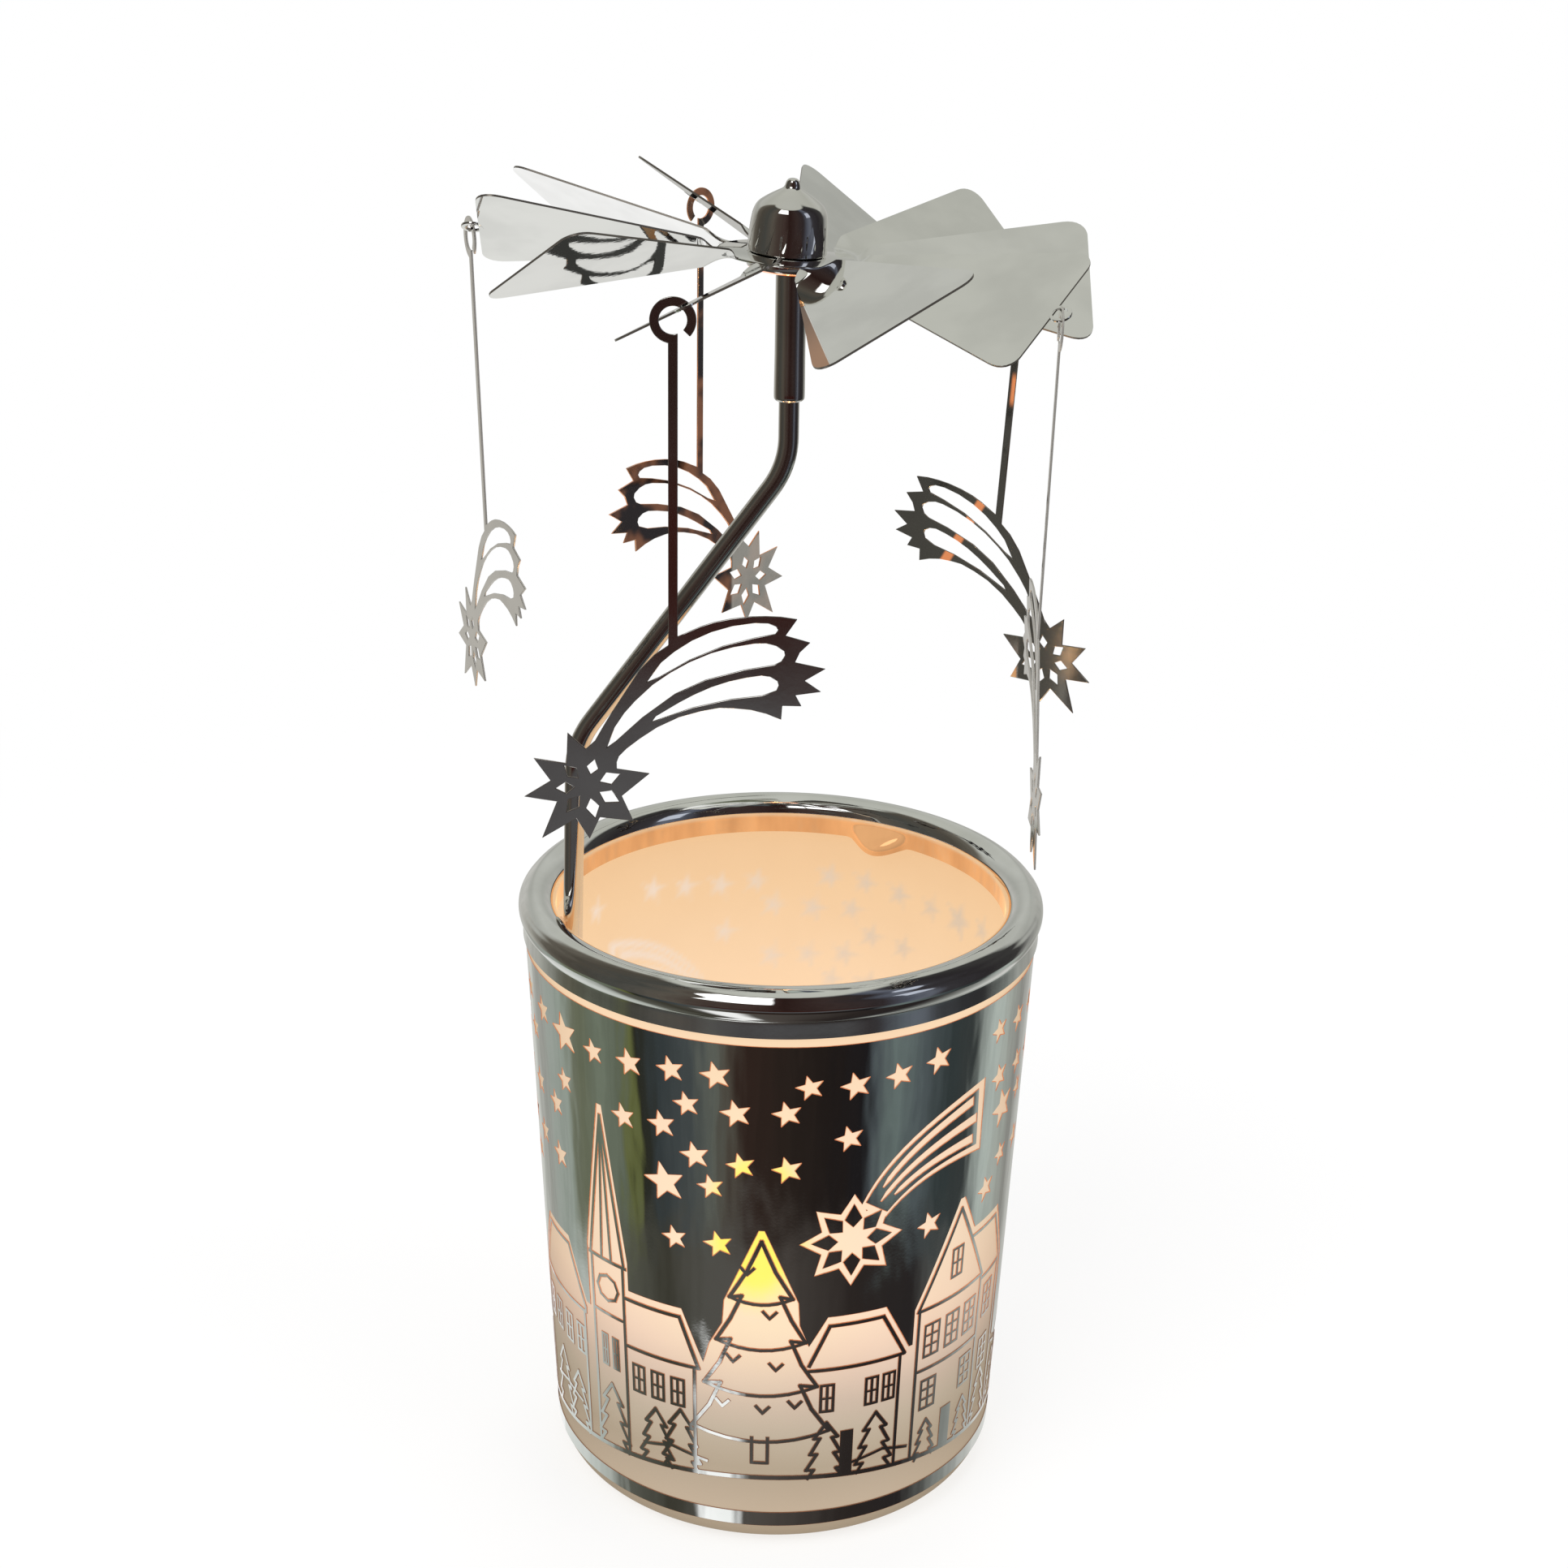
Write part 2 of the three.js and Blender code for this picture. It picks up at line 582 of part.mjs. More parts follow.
// Hangs each comet from the ear of its blade, wherever the leaning rotor puts it.
function addComets(parent, rotor) {
  rotor.updateMatrixWorld(true);
  const geometry = cometGeometry();
  CHARMS.forEach(({ blade, turn, lean, leanAz }, i) => {
    const azimuth = bladeAzimuth(blade);
    const earHole = polar(EAR_CENTRE, azimuth, SHEET_Z).applyMatrix4(rotor.matrixWorld);
    const tailAz = azimuth + 90 + turn;
    const leanTurn = new THREE.Quaternion().setFromAxisAngle(polar(1, leanAz - 90, 0), rad(lean));
    const comet = addPiece(parent, `comet_charm_${i + 1}`, geometry, STEEL);
    comet.rotation.z = rad(tailAz);
    comet.quaternion.premultiply(leanTurn);
    comet.position
      .copy(polar(-CHARM_HANG, tailAz, -CHARM_HANG))
      .applyQuaternion(leanTurn)
      .add(earHole);
  });
}

// ---------------------------------------------------------------- assembly
const lantern = new THREE.Group();
addPiece(lantern, "jar_glass", jarGlass(), FROSTED_GLASS);
addPiece(lantern, "mirror_film_upper", filmSleeve(FILM_UPPER_Z, JAR_TOP_Z), MIRROR_FILM);
addPiece(lantern, "mirror_film_band", filmSleeve(FILM_BAND_Z, JAR_LOW_Z), MIRROR_FILM);
lantern.add(buildCandle());
addPiece(lantern, "rim_ring", rimRing(), CHROME);
addPiece(lantern, "support_rod", supportRod(), STEEL);
addPiece(lantern, "rod_sleeve", rodSleeve(), STEEL);
addPiece(lantern, "pivot_needle", pivotNeedle(), STEEL);
const rotor = buildRotor();
lantern.add(rotor);
addComets(lantern, rotor);

export default lantern;
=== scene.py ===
# A candle carousel: a frosted tealight jar in a cut mirror film, a pressed rim ring, a bent rod
# with a needle on top, and a ten-bladed rotor on the needle with five comets hanging from it.
# It stands on z = 0 with the jar's axis on z; the camera looks from -y.  Meshes are drawn in mm.
# Azimuths on the film and in the room are degrees from -y towards +x.
import json
from math import asin, cos, degrees, hypot, pi, radians, sin, sqrt

import bmesh
import bpy
import numpy as np
from mathutils import Matrix, Vector
from mathutils.geometry import delaunay_2d_cdt

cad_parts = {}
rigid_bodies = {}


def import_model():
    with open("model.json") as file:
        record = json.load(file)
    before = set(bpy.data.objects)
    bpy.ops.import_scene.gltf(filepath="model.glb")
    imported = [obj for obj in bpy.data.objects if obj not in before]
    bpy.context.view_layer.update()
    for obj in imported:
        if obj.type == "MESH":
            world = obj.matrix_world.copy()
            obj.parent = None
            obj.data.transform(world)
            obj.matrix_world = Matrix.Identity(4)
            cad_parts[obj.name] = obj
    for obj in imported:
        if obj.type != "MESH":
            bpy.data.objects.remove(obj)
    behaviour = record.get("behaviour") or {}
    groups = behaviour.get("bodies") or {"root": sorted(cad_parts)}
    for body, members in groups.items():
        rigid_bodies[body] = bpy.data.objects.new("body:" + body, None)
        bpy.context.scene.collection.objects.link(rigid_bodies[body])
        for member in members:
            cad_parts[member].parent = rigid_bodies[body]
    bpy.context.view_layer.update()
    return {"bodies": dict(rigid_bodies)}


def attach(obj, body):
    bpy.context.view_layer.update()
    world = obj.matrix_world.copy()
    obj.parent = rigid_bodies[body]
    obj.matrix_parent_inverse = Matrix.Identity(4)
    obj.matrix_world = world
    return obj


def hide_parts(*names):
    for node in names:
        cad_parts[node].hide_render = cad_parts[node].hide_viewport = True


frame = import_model()

MM = 0.001  # metres
scene = bpy.context.scene


def grey(level):
    return (level, level, level, 1.0)


def rgb(*channels):
    """8-bit display colour to a linear one."""
    shares = [c / 255.0 for c in channels]
    return (*(c / 12.92 if c <= 0.04045 else ((c + 0.055) / 1.055) ** 2.4 for c in shares), 1.0)


# =============================================================== node helpers
class Value:
    """A node's output; arithmetic on it adds Math nodes."""

    def __init__(self, net, socket):
        self.net = net
        self.socket = socket

    def __add__(self, other):
        return self.net.math("ADD", self, other)

    def __radd__(self, other):
        return self.net.math("ADD", other, self)

    def __sub__(self, other):
        return self.net.math("SUBTRACT", self, other)

    def __rsub__(self, other):
        return self.net.math("SUBTRACT", other, self)

    def __mul__(self, other):
        return self.net.math("MULTIPLY", self, other)

    def __truediv__(self, other):
        return self.net.math("DIVIDE", self, other)

    def __abs__(self):
        return self.net.math("ABSOLUTE", self)


class Node:
    """A node whose outputs are read by name or index."""

    def __init__(self, net, raw):
        self.net = net
        self.raw = raw

    def __getitem__(self, key):
        return Value(self.net, self.raw.outputs[key])


class Net:
    """A node tree, emptied and ready to fill."""

    def __init__(self, tree):
        self.tree = tree
        tree.nodes.clear()

    def add(self, kind, inputs=None, family="ShaderNode", **props):
        """A new node; inputs left at None keep their defaults."""
        raw = self.tree.nodes.new(family + kind)
        for key, value in props.items():
            setattr(raw, key, value)
        for key, value in (inputs or {}).items():
            if isinstance(value, Value):
                self.tree.links.new(value.socket, raw.inputs[key])
            elif value is not None:
                raw.inputs[key].default_value = value
        return Node(self, raw)

    def math(self, operation, a, b=None, clamp=False):
        return self.add("Math", {0: a, 1: b}, operation=operation, use_clamp=clamp)[0]

    def vmath(self, operation, a, b=None, scale=None):
        node = self.add("VectorMath", {0: a, 1: b, 3: scale}, operation=operation)
        return node["Value" if operation in ("DOT_PRODUCT", "LENGTH") else "Vector"]

    def ramp(self, fac, stops, full=1.0, zero=0.0):
        """Colour ramp; stops are (place, red, green, blue), placed at place / full + zero."""
        node = self.add("ValToRGB", {"Fac": fac})
        elements = node.raw.color_ramp.elements
        while len(elements) < len(stops):
            elements.new(0.5)
        for element, (place, *colour) in zip(elements, stops):
            element.position = place / full + zero
            element.color = rgb(*colour)
        return node["Color"]

    def smooth(self, value, start, end, to=(0.0, 1.0)):
        """Smooth step from to[0] at start to to[1] at end."""
        inputs = {"Value": value, "From Min": start, "From Max": end, "To Min": to[0], "To Max": to[1]}
        return self.add("MapRange", inputs, interpolation_type="SMOOTHSTEP")["Result"]

    def near(self, value, inner, outer):
        """1 within inner of zero, falling to 0 at outer."""
        return self.smooth(abs(value), inner, outer, to=(1.0, 0.0))

    def mix(self, fac, a, b, blend="MIX"):
        props = {"data_type": "RGBA", "blend_type": blend, "clamp_factor": True}
        return self.add("Mix", {0: fac, 6: a, 7: b}, **props)[2]

    def shade(self, colour, by):
        return self.mix(1.0, colour, by, "MULTIPLY")

    def noise(self, vector, scale, detail=2.0, rough=0.5):
        inputs = {"Vector": vector, "Scale": scale, "Detail": detail, "Roughness": rough}
        return self.add("TexNoise", inputs)["Fac"]

    def bump(self, height, strength, distance, normal=None):
        inputs = {"Strength": strength, "Distance": distance, "Height": height, "Normal": normal}
        return self.add("Bump", inputs)[0]

    def xyz(self, vector):
        node = self.add("SeparateXYZ", {"Vector": vector})
        return node[0], node[1], node[2]

    def combine(self, x, y, z):
        return self.add("CombineXYZ", {"X": x, "Y": y, "Z": z})[0]

    def radius(self, x, y):
        return self.math("SQRT", x * x + y * y)

    def mix_shader(self, fac, a, b):
        return self.add("MixShader", {0: fac, 1: a, 2: b})[0]

    def finish(self, shader):
        self.add("OutputMaterial", {"Surface": shader})

    def principled(self, inputs):
        self.finish(self.add("BsdfPrincipled", inputs)[0])


# =============================================================== what bright metal sees round it
# Columns of the three tables: azimuth, then display red, green, blue.
EYE_LEVEL = [
    (-180, 190, 189, 185), (-166, 196, 195, 190), (-150, 198, 197, 192), (-130, 168, 166, 158),
    (-116, 104, 99, 90), (-100, 80, 75, 67), (-72, 74, 74, 70), (-50, 92, 86, 78),
    (-36, 76, 66, 60), (-15, 68, 54, 50), (2, 46, 30, 27), (22, 58, 46, 44), (44, 50, 44, 46),
    (55, 84, 88, 100), (64, 104, 108, 120), (72, 58, 56, 60), (96, 46, 43, 45), (118, 62, 61, 60),
    (130, 150, 150, 146), (150, 176, 176, 170), (166, 186, 185, 180), (180, 190, 189, 185),
]
TABLE_FAR = [
    (-180, 214, 214, 209), (-168, 212, 212, 207), (-158, 204, 205, 199), (-146, 160, 160, 154),
    (-130, 160, 166, 159), (-119, 150, 158, 149), (-111, 114, 118, 101), (-104, 105, 109, 90),
    (-92, 113, 121, 106), (-78, 101, 108, 93), (-71, 100, 104, 62), (-66, 44, 44, 36),
    (-57, 54, 60, 62), (-42, 70, 75, 76), (-30, 96, 99, 92), (-22, 80, 74, 66), (-15, 50, 37, 32),
    (6, 42, 34, 30), (25, 34, 28, 26), (40, 30, 28, 30), (46, 76, 82, 86), (54, 106, 118, 116),
    (70, 82, 90, 93), (86, 54, 61, 62), (101, 56, 60, 60), (108, 140, 146, 142),
    (118, 182, 190, 184), (132, 164, 168, 161), (145, 144, 143, 138), (160, 190, 190, 185),
    (180, 214, 214, 209),
]
TABLE_NEAR = [
    (-180, 222, 222, 219), (-150, 226, 227, 224), (-118, 200, 204, 200), (-98, 170, 174, 168),
    (-86, 92, 92, 84), (-54, 60, 58, 50), (-44, 74, 72, 66), (-37, 80, 78, 73), (-20, 82, 79, 75),
    (-13, 80, 76, 72), (-4, 76, 70, 66), (40, 44, 38, 36), (72, 40, 36, 36), (88, 84, 84, 82),
    (104, 132, 134, 130), (120, 168, 170, 166), (140, 208, 208, 204), (180, 222, 222, 219),
]
# Cloth of the tent by elevation as a share of 90 degrees.
CLOTH = [
    (0.0, 176, 176, 171), (0.18, 172, 173, 167), (0.30, 189, 190, 184), (0.5, 182, 183, 175),
    (0.66, 188, 189, 181), (1.0, 192, 193, 186),
]


def room_group():
    """Colour seen in a direction: a pale light tent, open towards -y."""
    group = bpy.data.node_groups.new("room", "ShaderNodeTree")
    sockets = group.interface
    sockets.new_socket("Direction", in_out="INPUT", socket_type="NodeSocketVector")
    sockets.new_socket("Color", in_out="OUTPUT", socket_type="NodeSocketColor")
    net = Net(group)
    smooth, near, mix = net.smooth, net.near, net.mix
    way = net.vmath("NORMALIZE", net.add("GroupInput", family="Node")["Direction"])
    x, y, z = net.xyz(way)
    elevation = net.math("ARCSINE", z) * (180 / pi)
    azimuth = net.math("ARCTAN2", x, y * -1.0) * (180 / pi)
    level_x, level_y, _ = net.xyz(net.vmath("NORMALIZE", net.combine(x, y, 0.0)))

    def streaks(wide, tall, **noise):
        return net.noise(net.combine(level_x * wide, level_y * wide, z * tall), **noise)

    # the tables are read at an azimuth that wanders a little
    wobble = streaks(wide=1.6, tall=1.1, scale=2.2, detail=3.0)
    shifted = azimuth + (wobble - 0.5) * 7.0
    turn = net.math("ADD", shifted / 360.0, 0.5, clamp=True)
    eye, far, close = (
        net.ramp(turn, table, full=360.0, zero=0.5) for table in (EYE_LEVEL, TABLE_FAR, TABLE_NEAR)
    )
    fine = streaks(wide=11.0, tall=1.2, scale=1.6, detail=4.0, rough=0.55)
    far = mix(smooth(fine, 0.3, 0.72, to=(0.0, 0.30)), far, net.shade(far, grey(0.62)))
    eye = mix(smooth(fine, 0.3, 0.72, to=(0.0, 0.35)), eye, net.shade(eye, grey(0.66)))
    # a dark red band on the open side, and grey below it
    middle = near(azimuth - 2.0, 24.0, 46.0)
    band = smooth(elevation, -13.2, -14.6) * smooth(elevation, -18.6, -17.4)
    eye = mix(middle * band, eye, rgb(54, 26, 22))
    eye = mix(middle * smooth(elevation, -18.2, -19.6), eye, rgb(84, 84, 86))
    # lamp and a small window in the open side
    lamp = near(azimuth + 22.0, 17.0, 20.0) * near(elevation - 50.0, 11.0, 13.0)
    eye = mix(lamp, eye, grey(1.7))
    window = near(azimuth - 62.0, 6.0, 8.0) * near(elevation - 30.0, 9.0, 12.0)
    eye = mix(window * 0.8, eye, rgb(206, 212, 228))
    # tent cloth: all of the far side above eye level, and overhead
    cloth = net.ramp(net.math("DIVIDE", elevation, 90.0, clamp=True), CLOTH)
    open_side = near(azimuth, 118.0, 128.0) * smooth(elevation, 62.0, 68.0, to=(1.0, 0.0))
    upper = mix(smooth(elevation, 0.0, 14.0), eye, mix(open_side, cloth, eye))
    # the table, whose near part starts lower to the sides
    tipped = elevation - abs(azimuth) * 0.016
    below = mix(smooth(tipped, -37.4, -34.9), close, far)
    shine = near(azimuth + 28.0, 5.0, 16.0) * smooth(tipped, -38.6, -40.2)
    below = mix(shine, below, grey(0.98))
    # behind and low lies brightly lit cloth
    glare = near(azimuth + 160.0, 7.0, 11.0) * near(elevation + 36.5, 3.0, 5.0)
    below = mix(glare, below, grey(0.93))
    colour = mix(smooth(elevation, -26.0, -22.5), below, upper)
    net.add("GroupOutput", {"Color": colour}, family="Node")
    return group


ROOM = room_group()
SOFT_LIGHT = 0.62  # strength of the even white light that rough surfaces see


def make_world():
    """The room for glossy rays, white for the camera, soft white for the rest."""
    world = bpy.data.worlds.new("studio")
    scene.world = world
    world.use_nodes = True
    net = Net(world.node_tree)

    def background(colour, strength):
        return net.add("Background", {"Color": colour, "Strength": strength})[0]

    path = net.add("LightPath")
    direction = net.add("TexCoord")["Generated"]
    room = net.add("Group", {"Direction": direction}, node_tree=ROOM)
    glossy = background(room[0], strength=1.0)
    soft = background(grey(1.0), strength=SOFT_LIGHT)
    light = net.mix_shader(path["Is Glossy Ray"], soft, glossy)
    plain = background(grey(1.0), strength=1.0)
    surface = net.mix_shader(path["Is Camera Ray"], light, plain)
    net.add("OutputWorld", {"Surface": surface})


make_world()


# =============================================================== metals
def material(name):
    made = bpy.data.materials.new(name)
    made.use_nodes = True
    return made, Net(made.node_tree)


def plain(net, place, tint, normal):
    """No local change.  Such functions return tint, normal, glow colour and glow strength."""
    return tint, normal, None, None


def metal(name, colour, rough, wear=0.5, wave=0.0, core=1.0, local=plain):
    """Plated or polished sheet: faint orange peel, with wiped marks in the roughness."""
    made, net = material(name)
    place = net.add("TexCoord")["Object"]
    blotches = net.noise(place, scale=95.0, detail=3.0, rough=0.6)
    peel = net.noise(place, scale=1400.0)
    tint = net.mix(net.smooth(blotches, 0.35, 0.7), colour, net.shade(colour, grey(0.90)))
    wiped = net.noise(place, scale=60.0, detail=4.0, rough=0.65)
    roughness = net.smooth(wiped, 0.3, 0.8, to=(rough * (1 - wear * 0.6), rough * (1 + wear)))
    normal = net.bump(peel, strength=0.06, distance=0.00002)
    if wave:
        waves = net.noise(place, scale=130.0, detail=1.0, rough=0.4)
        normal = net.bump(waves, strength=wave, distance=0.0004, normal=normal)
    tint, normal, glow, strength = local(net, place, tint, normal)
    net.principled({
        "Base Color": tint, "Metallic": core, "Roughness": roughness, "Normal": normal,
        "Emission Color": glow, "Emission Strength": strength,
    })
    return made


def distance_along(net, place, origin, axis):
    """Distance in mm along an axis from a point given in mm."""
    offset = net.vmath("SUBTRACT", place, tuple(c * MM for c in origin))
    return net.vmath("DOT_PRODUCT", offset, tuple(axis)) * 1000.0


def normal_z(net):
    return net.xyz(net.add("NewGeometry")["Normal"])[2]


def painted_mouth_glow(net, place, tint, normal):
    """The ring's inner face gets a painted brown tint for the glowing jar it reflects, and a painted
    warm glow for the flame's light, brighter on faces turned up.
    """
    x, y, z = net.xyz(place)
    radius = net.radius(x, y)
    face = net.smooth(radius, 0.02950, 0.02935) * net.smooth(z, 0.0796, 0.0788)
    patch = net.noise(net.combine(x * 1.0, y * 1.0, z * 0.3), scale=170.0, detail=3.0, rough=0.6)
    brown = net.mix(net.smooth(patch, 0.3, 0.7), rgb(176, 140, 104), rgb(150, 112, 78))
    lit = net.smooth(patch, 0.3, 0.75, to=(0.62, 0.48))
    lit = lit + net.smooth(normal_z(net), 0.05, 0.45, to=(0.0, 0.34))
    return net.mix(face, tint, brown), normal, rgb(228, 170, 116), face * lit


def painted_glow_below(net, place, tint, normal):
    """Faces turned down get a painted warm glow for the candle's light."""
    lit = net.smooth(normal_z(net), -0.35, -0.75, to=(0.0, 0.95))
    return tint, normal, rgb(255, 132, 62), lit


def painted_rim_glow(net, place, tint, normal):
    """A painted patchy warm glow for the candle's light, and a painted dark tint where seen in
    reflections.
    """
    direct = 1.0 - net.add("LightPath")["Is Glossy Ray"]
    lit = net.smooth(net.noise(place, scale=220.0), 0.35, 0.65, to=(0.06, 0.42))
    return net.mix(direct, grey(0.12), tint), normal, rgb(226, 140, 84), lit * direct


# bright chrome, with a painted brown tint and painted warm glow on the ring's inner face
CHROME = metal("bright_chrome", rgb(246, 247, 245), rough=0.035, wave=0.02, local=painted_mouth_glow)
HUB = metal("hub_steel", rgb(244, 243, 240), rough=0.04)
ROD = metal("dark_polished_steel", rgb(226, 223, 218), rough=0.07)
# collar steel with a painted warm glow on faces turned down
COLLAR = metal("collar_steel", rgb(244, 243, 240), rough=0.04, local=painted_glow_below)
EDGE = metal("burnished_edge", rgb(196, 193, 187), rough=0.34, core=0.55)
EDGE_DARK = metal("cut_edge", rgb(140, 134, 126), rough=0.28, core=0.8)
# edge steel for comet 2, with a painted bronze tint and painted warm glow for the candle's light
EDGE_WARM = metal("warm_edge", rgb(206, 150, 108), rough=0.36, core=0.7, local=painted_rim_glow)
CUP = metal("rolled_aluminium", rgb(214, 214, 214), rough=0.22)


# =============================================================== film, glass, wax and wick
def film_material():
    """Mirror coating on glass that is gently wavy, most along the jar's height."""
    made, net = material("mirror_film")
    place = net.add("TexCoord")["Object"]
    x, y, z = net.xyz(place)
    around = net.math("ARCTAN2", x, y * -1.0)
    wave = net.noise(net.combine(around * 3.2, 0.0, z * 22.0), scale=2.4, rough=0.45)
    wavy = net.bump(wave, strength=0.25, distance=0.0006)
    pits = net.noise(place, scale=2600.0, detail=1.0)
    normal = net.bump(pits, strength=0.05, distance=0.00002, normal=wavy)
    blotches = net.smooth(net.noise(place, scale=140.0, detail=4.0), 0.35, 0.75)
    wiped = net.noise(place, scale=70.0, detail=4.0, rough=0.7)
    net.principled({
        "Base Color": net.mix(blotches, rgb(247, 249, 247), rgb(238, 241, 238)),
        "Metallic": 1.0, "Roughness": net.smooth(wiped, 0.3, 0.8, to=(0.02, 0.055)),
        "Normal": normal,
    })
    return made


def cut_material():
    """Walls of the cuts in the film, with a painted warm glow for the light from the glass that leaks
    out, dimmer low down.
    """
    made, net = material("film_cut_wall")
    place = net.add("TexCoord")["Object"]
    lit = net.smooth(net.xyz(place)[2], 0.020, 0.034, to=(0.12, 1.0))
    speckle = net.smooth(net.noise(place, scale=1500.0), 0.3, 0.7)
    net.principled({
        "Base Color": rgb(150, 110, 84), "Metallic": 0.4, "Roughness": 0.4,
        "Emission Color": net.mix(speckle, rgb(226, 134, 78), rgb(196, 96, 52)),
        "Emission Strength": lit * 0.75,
    })
    return made


GLASS_TOP = 80.0  # mm, full height of the glow table
# Painted glow of the outer face for the candle's light, with painted shade low down: height in mm,
# display colour.
GLOW = [
    (0.0, 172, 152, 128), (3.2, 166, 148, 124), (5.6, 188, 168, 144), (9, 180, 161, 138),
    (12.5, 172, 155, 132), (18, 187, 171, 150), (22.5, 203, 181, 162), (26.5, 225, 197, 176),
    (30, 241, 209, 184), (34, 252, 220, 191), (42, 254, 225, 195), (58, 254, 221, 190),
    (75, 250, 216, 178), (80, 240, 200, 158),
]
# Painted glow of the inner face: height as a share of GLASS_TOP, display colour.
INNER_GLOW = [
    (0.0, 190, 160, 126), (0.3, 226, 196, 164), (0.5, 240, 210, 178), (0.7, 240, 207, 170),
    (0.86, 238, 200, 156), (0.97, 234, 192, 146), (1.0, 214, 164, 116),
]


def glass_material(flame):
    """Etched glass with a painted glow for the candle inside, painted dimmer below the flame and
    towards the silhouettes.
    """
    made, net = material("frosted_glass")
    smooth, mix = net.smooth, net.mix
    place = net.add("TexCoord")["Object"]
    geometry = net.add("NewGeometry")
    x, y, z = net.xyz(place)
    height = z * 1000.0
    glow = net.ramp(height / GLASS_TOP, GLOW, full=GLASS_TOP)
    normal_x, normal_y, _ = net.xyz(geometry["Normal"])
    radius = net.math("MAXIMUM", net.radius(x, y), 0.0001)
    inside = smooth((x * normal_x + y * normal_y) / radius, 0.15, -0.15)
    # the inner face is a smooth painted peach glow, with faint, cool painted light behind the film's
    # openings
    ghost = net.add("Attribute", attribute_name="ghost")["Fac"]
    wall = net.ramp(height / GLASS_TOP, INNER_GLOW)
    cool = mix(smooth(x, -0.026, 0.026), rgb(236, 222, 210), rgb(204, 188, 170))
    glow = mix(inside, glow, mix(ghost * 0.75, wall, cool))
    # painted light, thinner towards the silhouette
    facing = abs(net.vmath("DOT_PRODUCT", geometry["Normal"], geometry["Incoming"]))
    edge = net.math("MAXIMUM", smooth(facing, 0.0, 0.75, to=(0.62, 1.0)), inside)
    falloff = net.combine(edge, net.math("POWER", edge, 1.08), net.math("POWER", edge, 1.25))
    glow = net.shade(glow, falloff)
    # a painted flame spot and halo, as if blurred by the frosting: how close the line of sight passes
    # to the flame
    offset = net.add("TexCoord", object=flame)["Object"]
    ray = net.vmath("NORMALIZE", geometry["Incoming"])
    squash = net.combine(1.0, 1.0, 0.62)
    offset = net.vmath("MULTIPLY", offset, squash)
    ray = net.vmath("NORMALIZE", net.vmath("MULTIPLY", ray, squash))
    along = net.vmath("DOT_PRODUCT", offset, ray)
    beside = net.vmath("SUBTRACT", offset, net.vmath("SCALE", ray, scale=along))
    grain = net.noise(place, scale=900.0)
    miss = net.vmath("LENGTH", beside) + (grain - 0.5) * 0.0006
    spot = smooth(miss, 0.0046, 0.0086, to=(1.0, 0.0)) * (1.0 - inside)
    halo = smooth(miss, 0.004, 0.020, to=(1.0, 0.0)) * (1.0 - inside)
    glow = mix(halo * 0.45, glow, rgb(255, 238, 190))
    glow = mix(spot * 0.95, glow, rgb(255, 250, 84))
    # etched grain
    frost = net.noise(place, scale=5200.0, detail=3.0, rough=0.6)
    cloud = smooth(net.noise(place, scale=120.0, detail=3.0), 0.3, 0.8, to=(0.0, 0.10))
    glow = mix(cloud, glow, net.shade(glow, rgb(236, 226, 214)))
    net.principled({
        "Base Color": rgb(84, 78, 70), "Roughness": 0.55, "IOR": 1.45,
        "Normal": net.bump(frost, strength=0.25, distance=0.00003),
        "Emission Color": glow, "Emission Strength": 0.93, "Specular IOR Level": 0.28,
    })
    return made


def wax_material():
    made, net = material("candle_wax")
    place = net.add("TexCoord")["Object"]
    mottle = net.noise(place, scale=260.0, detail=4.0, rough=0.6)
    x, y, _ = net.xyz(place)
    # painted warm glow of the flame's light on the wax round the wick
    painted_glow_by_wick = net.smooth(net.radius(x, y), 0.001, 0.017, to=(1.0, 0.0))
    net.principled({
        "Base Color": net.mix(mottle, rgb(247, 240, 224), rgb(238, 228, 206)),
        "Roughness": 0.32, "Subsurface Weight": 0.35, "Subsurface Radius": (0.006, 0.004, 0.002),
        "Normal": net.bump(mottle, strength=0.12, distance=0.0002),
        "Emission Color": rgb(255, 206, 140), "Emission Strength": painted_glow_by_wick * 0.55,
    })
    return made


def wick_material():
    """Twisted cotton, burnt at its upper end."""
    made, net = material("wick_cotton")
    x, y, z = net.xyz(net.add("TexCoord")["Object"])
    twist = net.math("SINE", net.math("ARCTAN2", y, x) * 3.0 + z * 9000.0)
    colour = net.mix(net.smooth(z, 0.0165, 0.0195), rgb(190, 176, 150), rgb(36, 28, 24))
    # painted shade in the grooves of the twist
    groove = net.smooth(twist, -1.0, 1.0, to=(0.0, 0.5))
    net.principled({
        "Base Color": net.mix(groove, colour, net.shade(colour, grey(0.45))), "Roughness": 0.9,
        "Normal": net.bump(twist, strength=0.6, distance=0.0001),
    })
    return made


# =============================================================== mesh helpers
# A part is a pair (vertices in mm, faces).
def build(name, part, look, body, slot, *replaces, sharp=38.0, normals=None, second=None):
    """An object from a part; second is (material, test of a polygon) for a second slot."""
    verts, faces = part
    mesh = bpy.data.meshes.new(name)
    mesh.from_pydata([(x * MM, y * MM, z * MM) for x, y, z in verts], [], faces)
    mesh.validate()
    mesh.update()
    mesh.shade_smooth()
    if normals is not None:
        mesh.normals_split_custom_set_from_vertices([tuple(v) for v in normals])
    elif sharp:
        mesh.set_sharp_from_angle(angle=radians(sharp))
    mesh.materials.append(look)
    if second is not None:
        mesh.materials.append(second[0])
        for polygon in mesh.polygons:
            if second[1](polygon):
                polygon.material_index = 1
    made = bpy.data.objects.new(name, mesh)
    scene.collection.objects.link(made)
    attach(made, body)
    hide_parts(*replaces)
    return made


def soften_edges(made, width):
    bevel = made.modifiers.new("edge", "BEVEL")
    bevel.width = width
    bevel.segments = 2
    bevel.limit_method = "ANGLE"
    bevel.angle_limit = radians(50)


def is_quad(polygon):
    return len(polygon.vertices) == 4


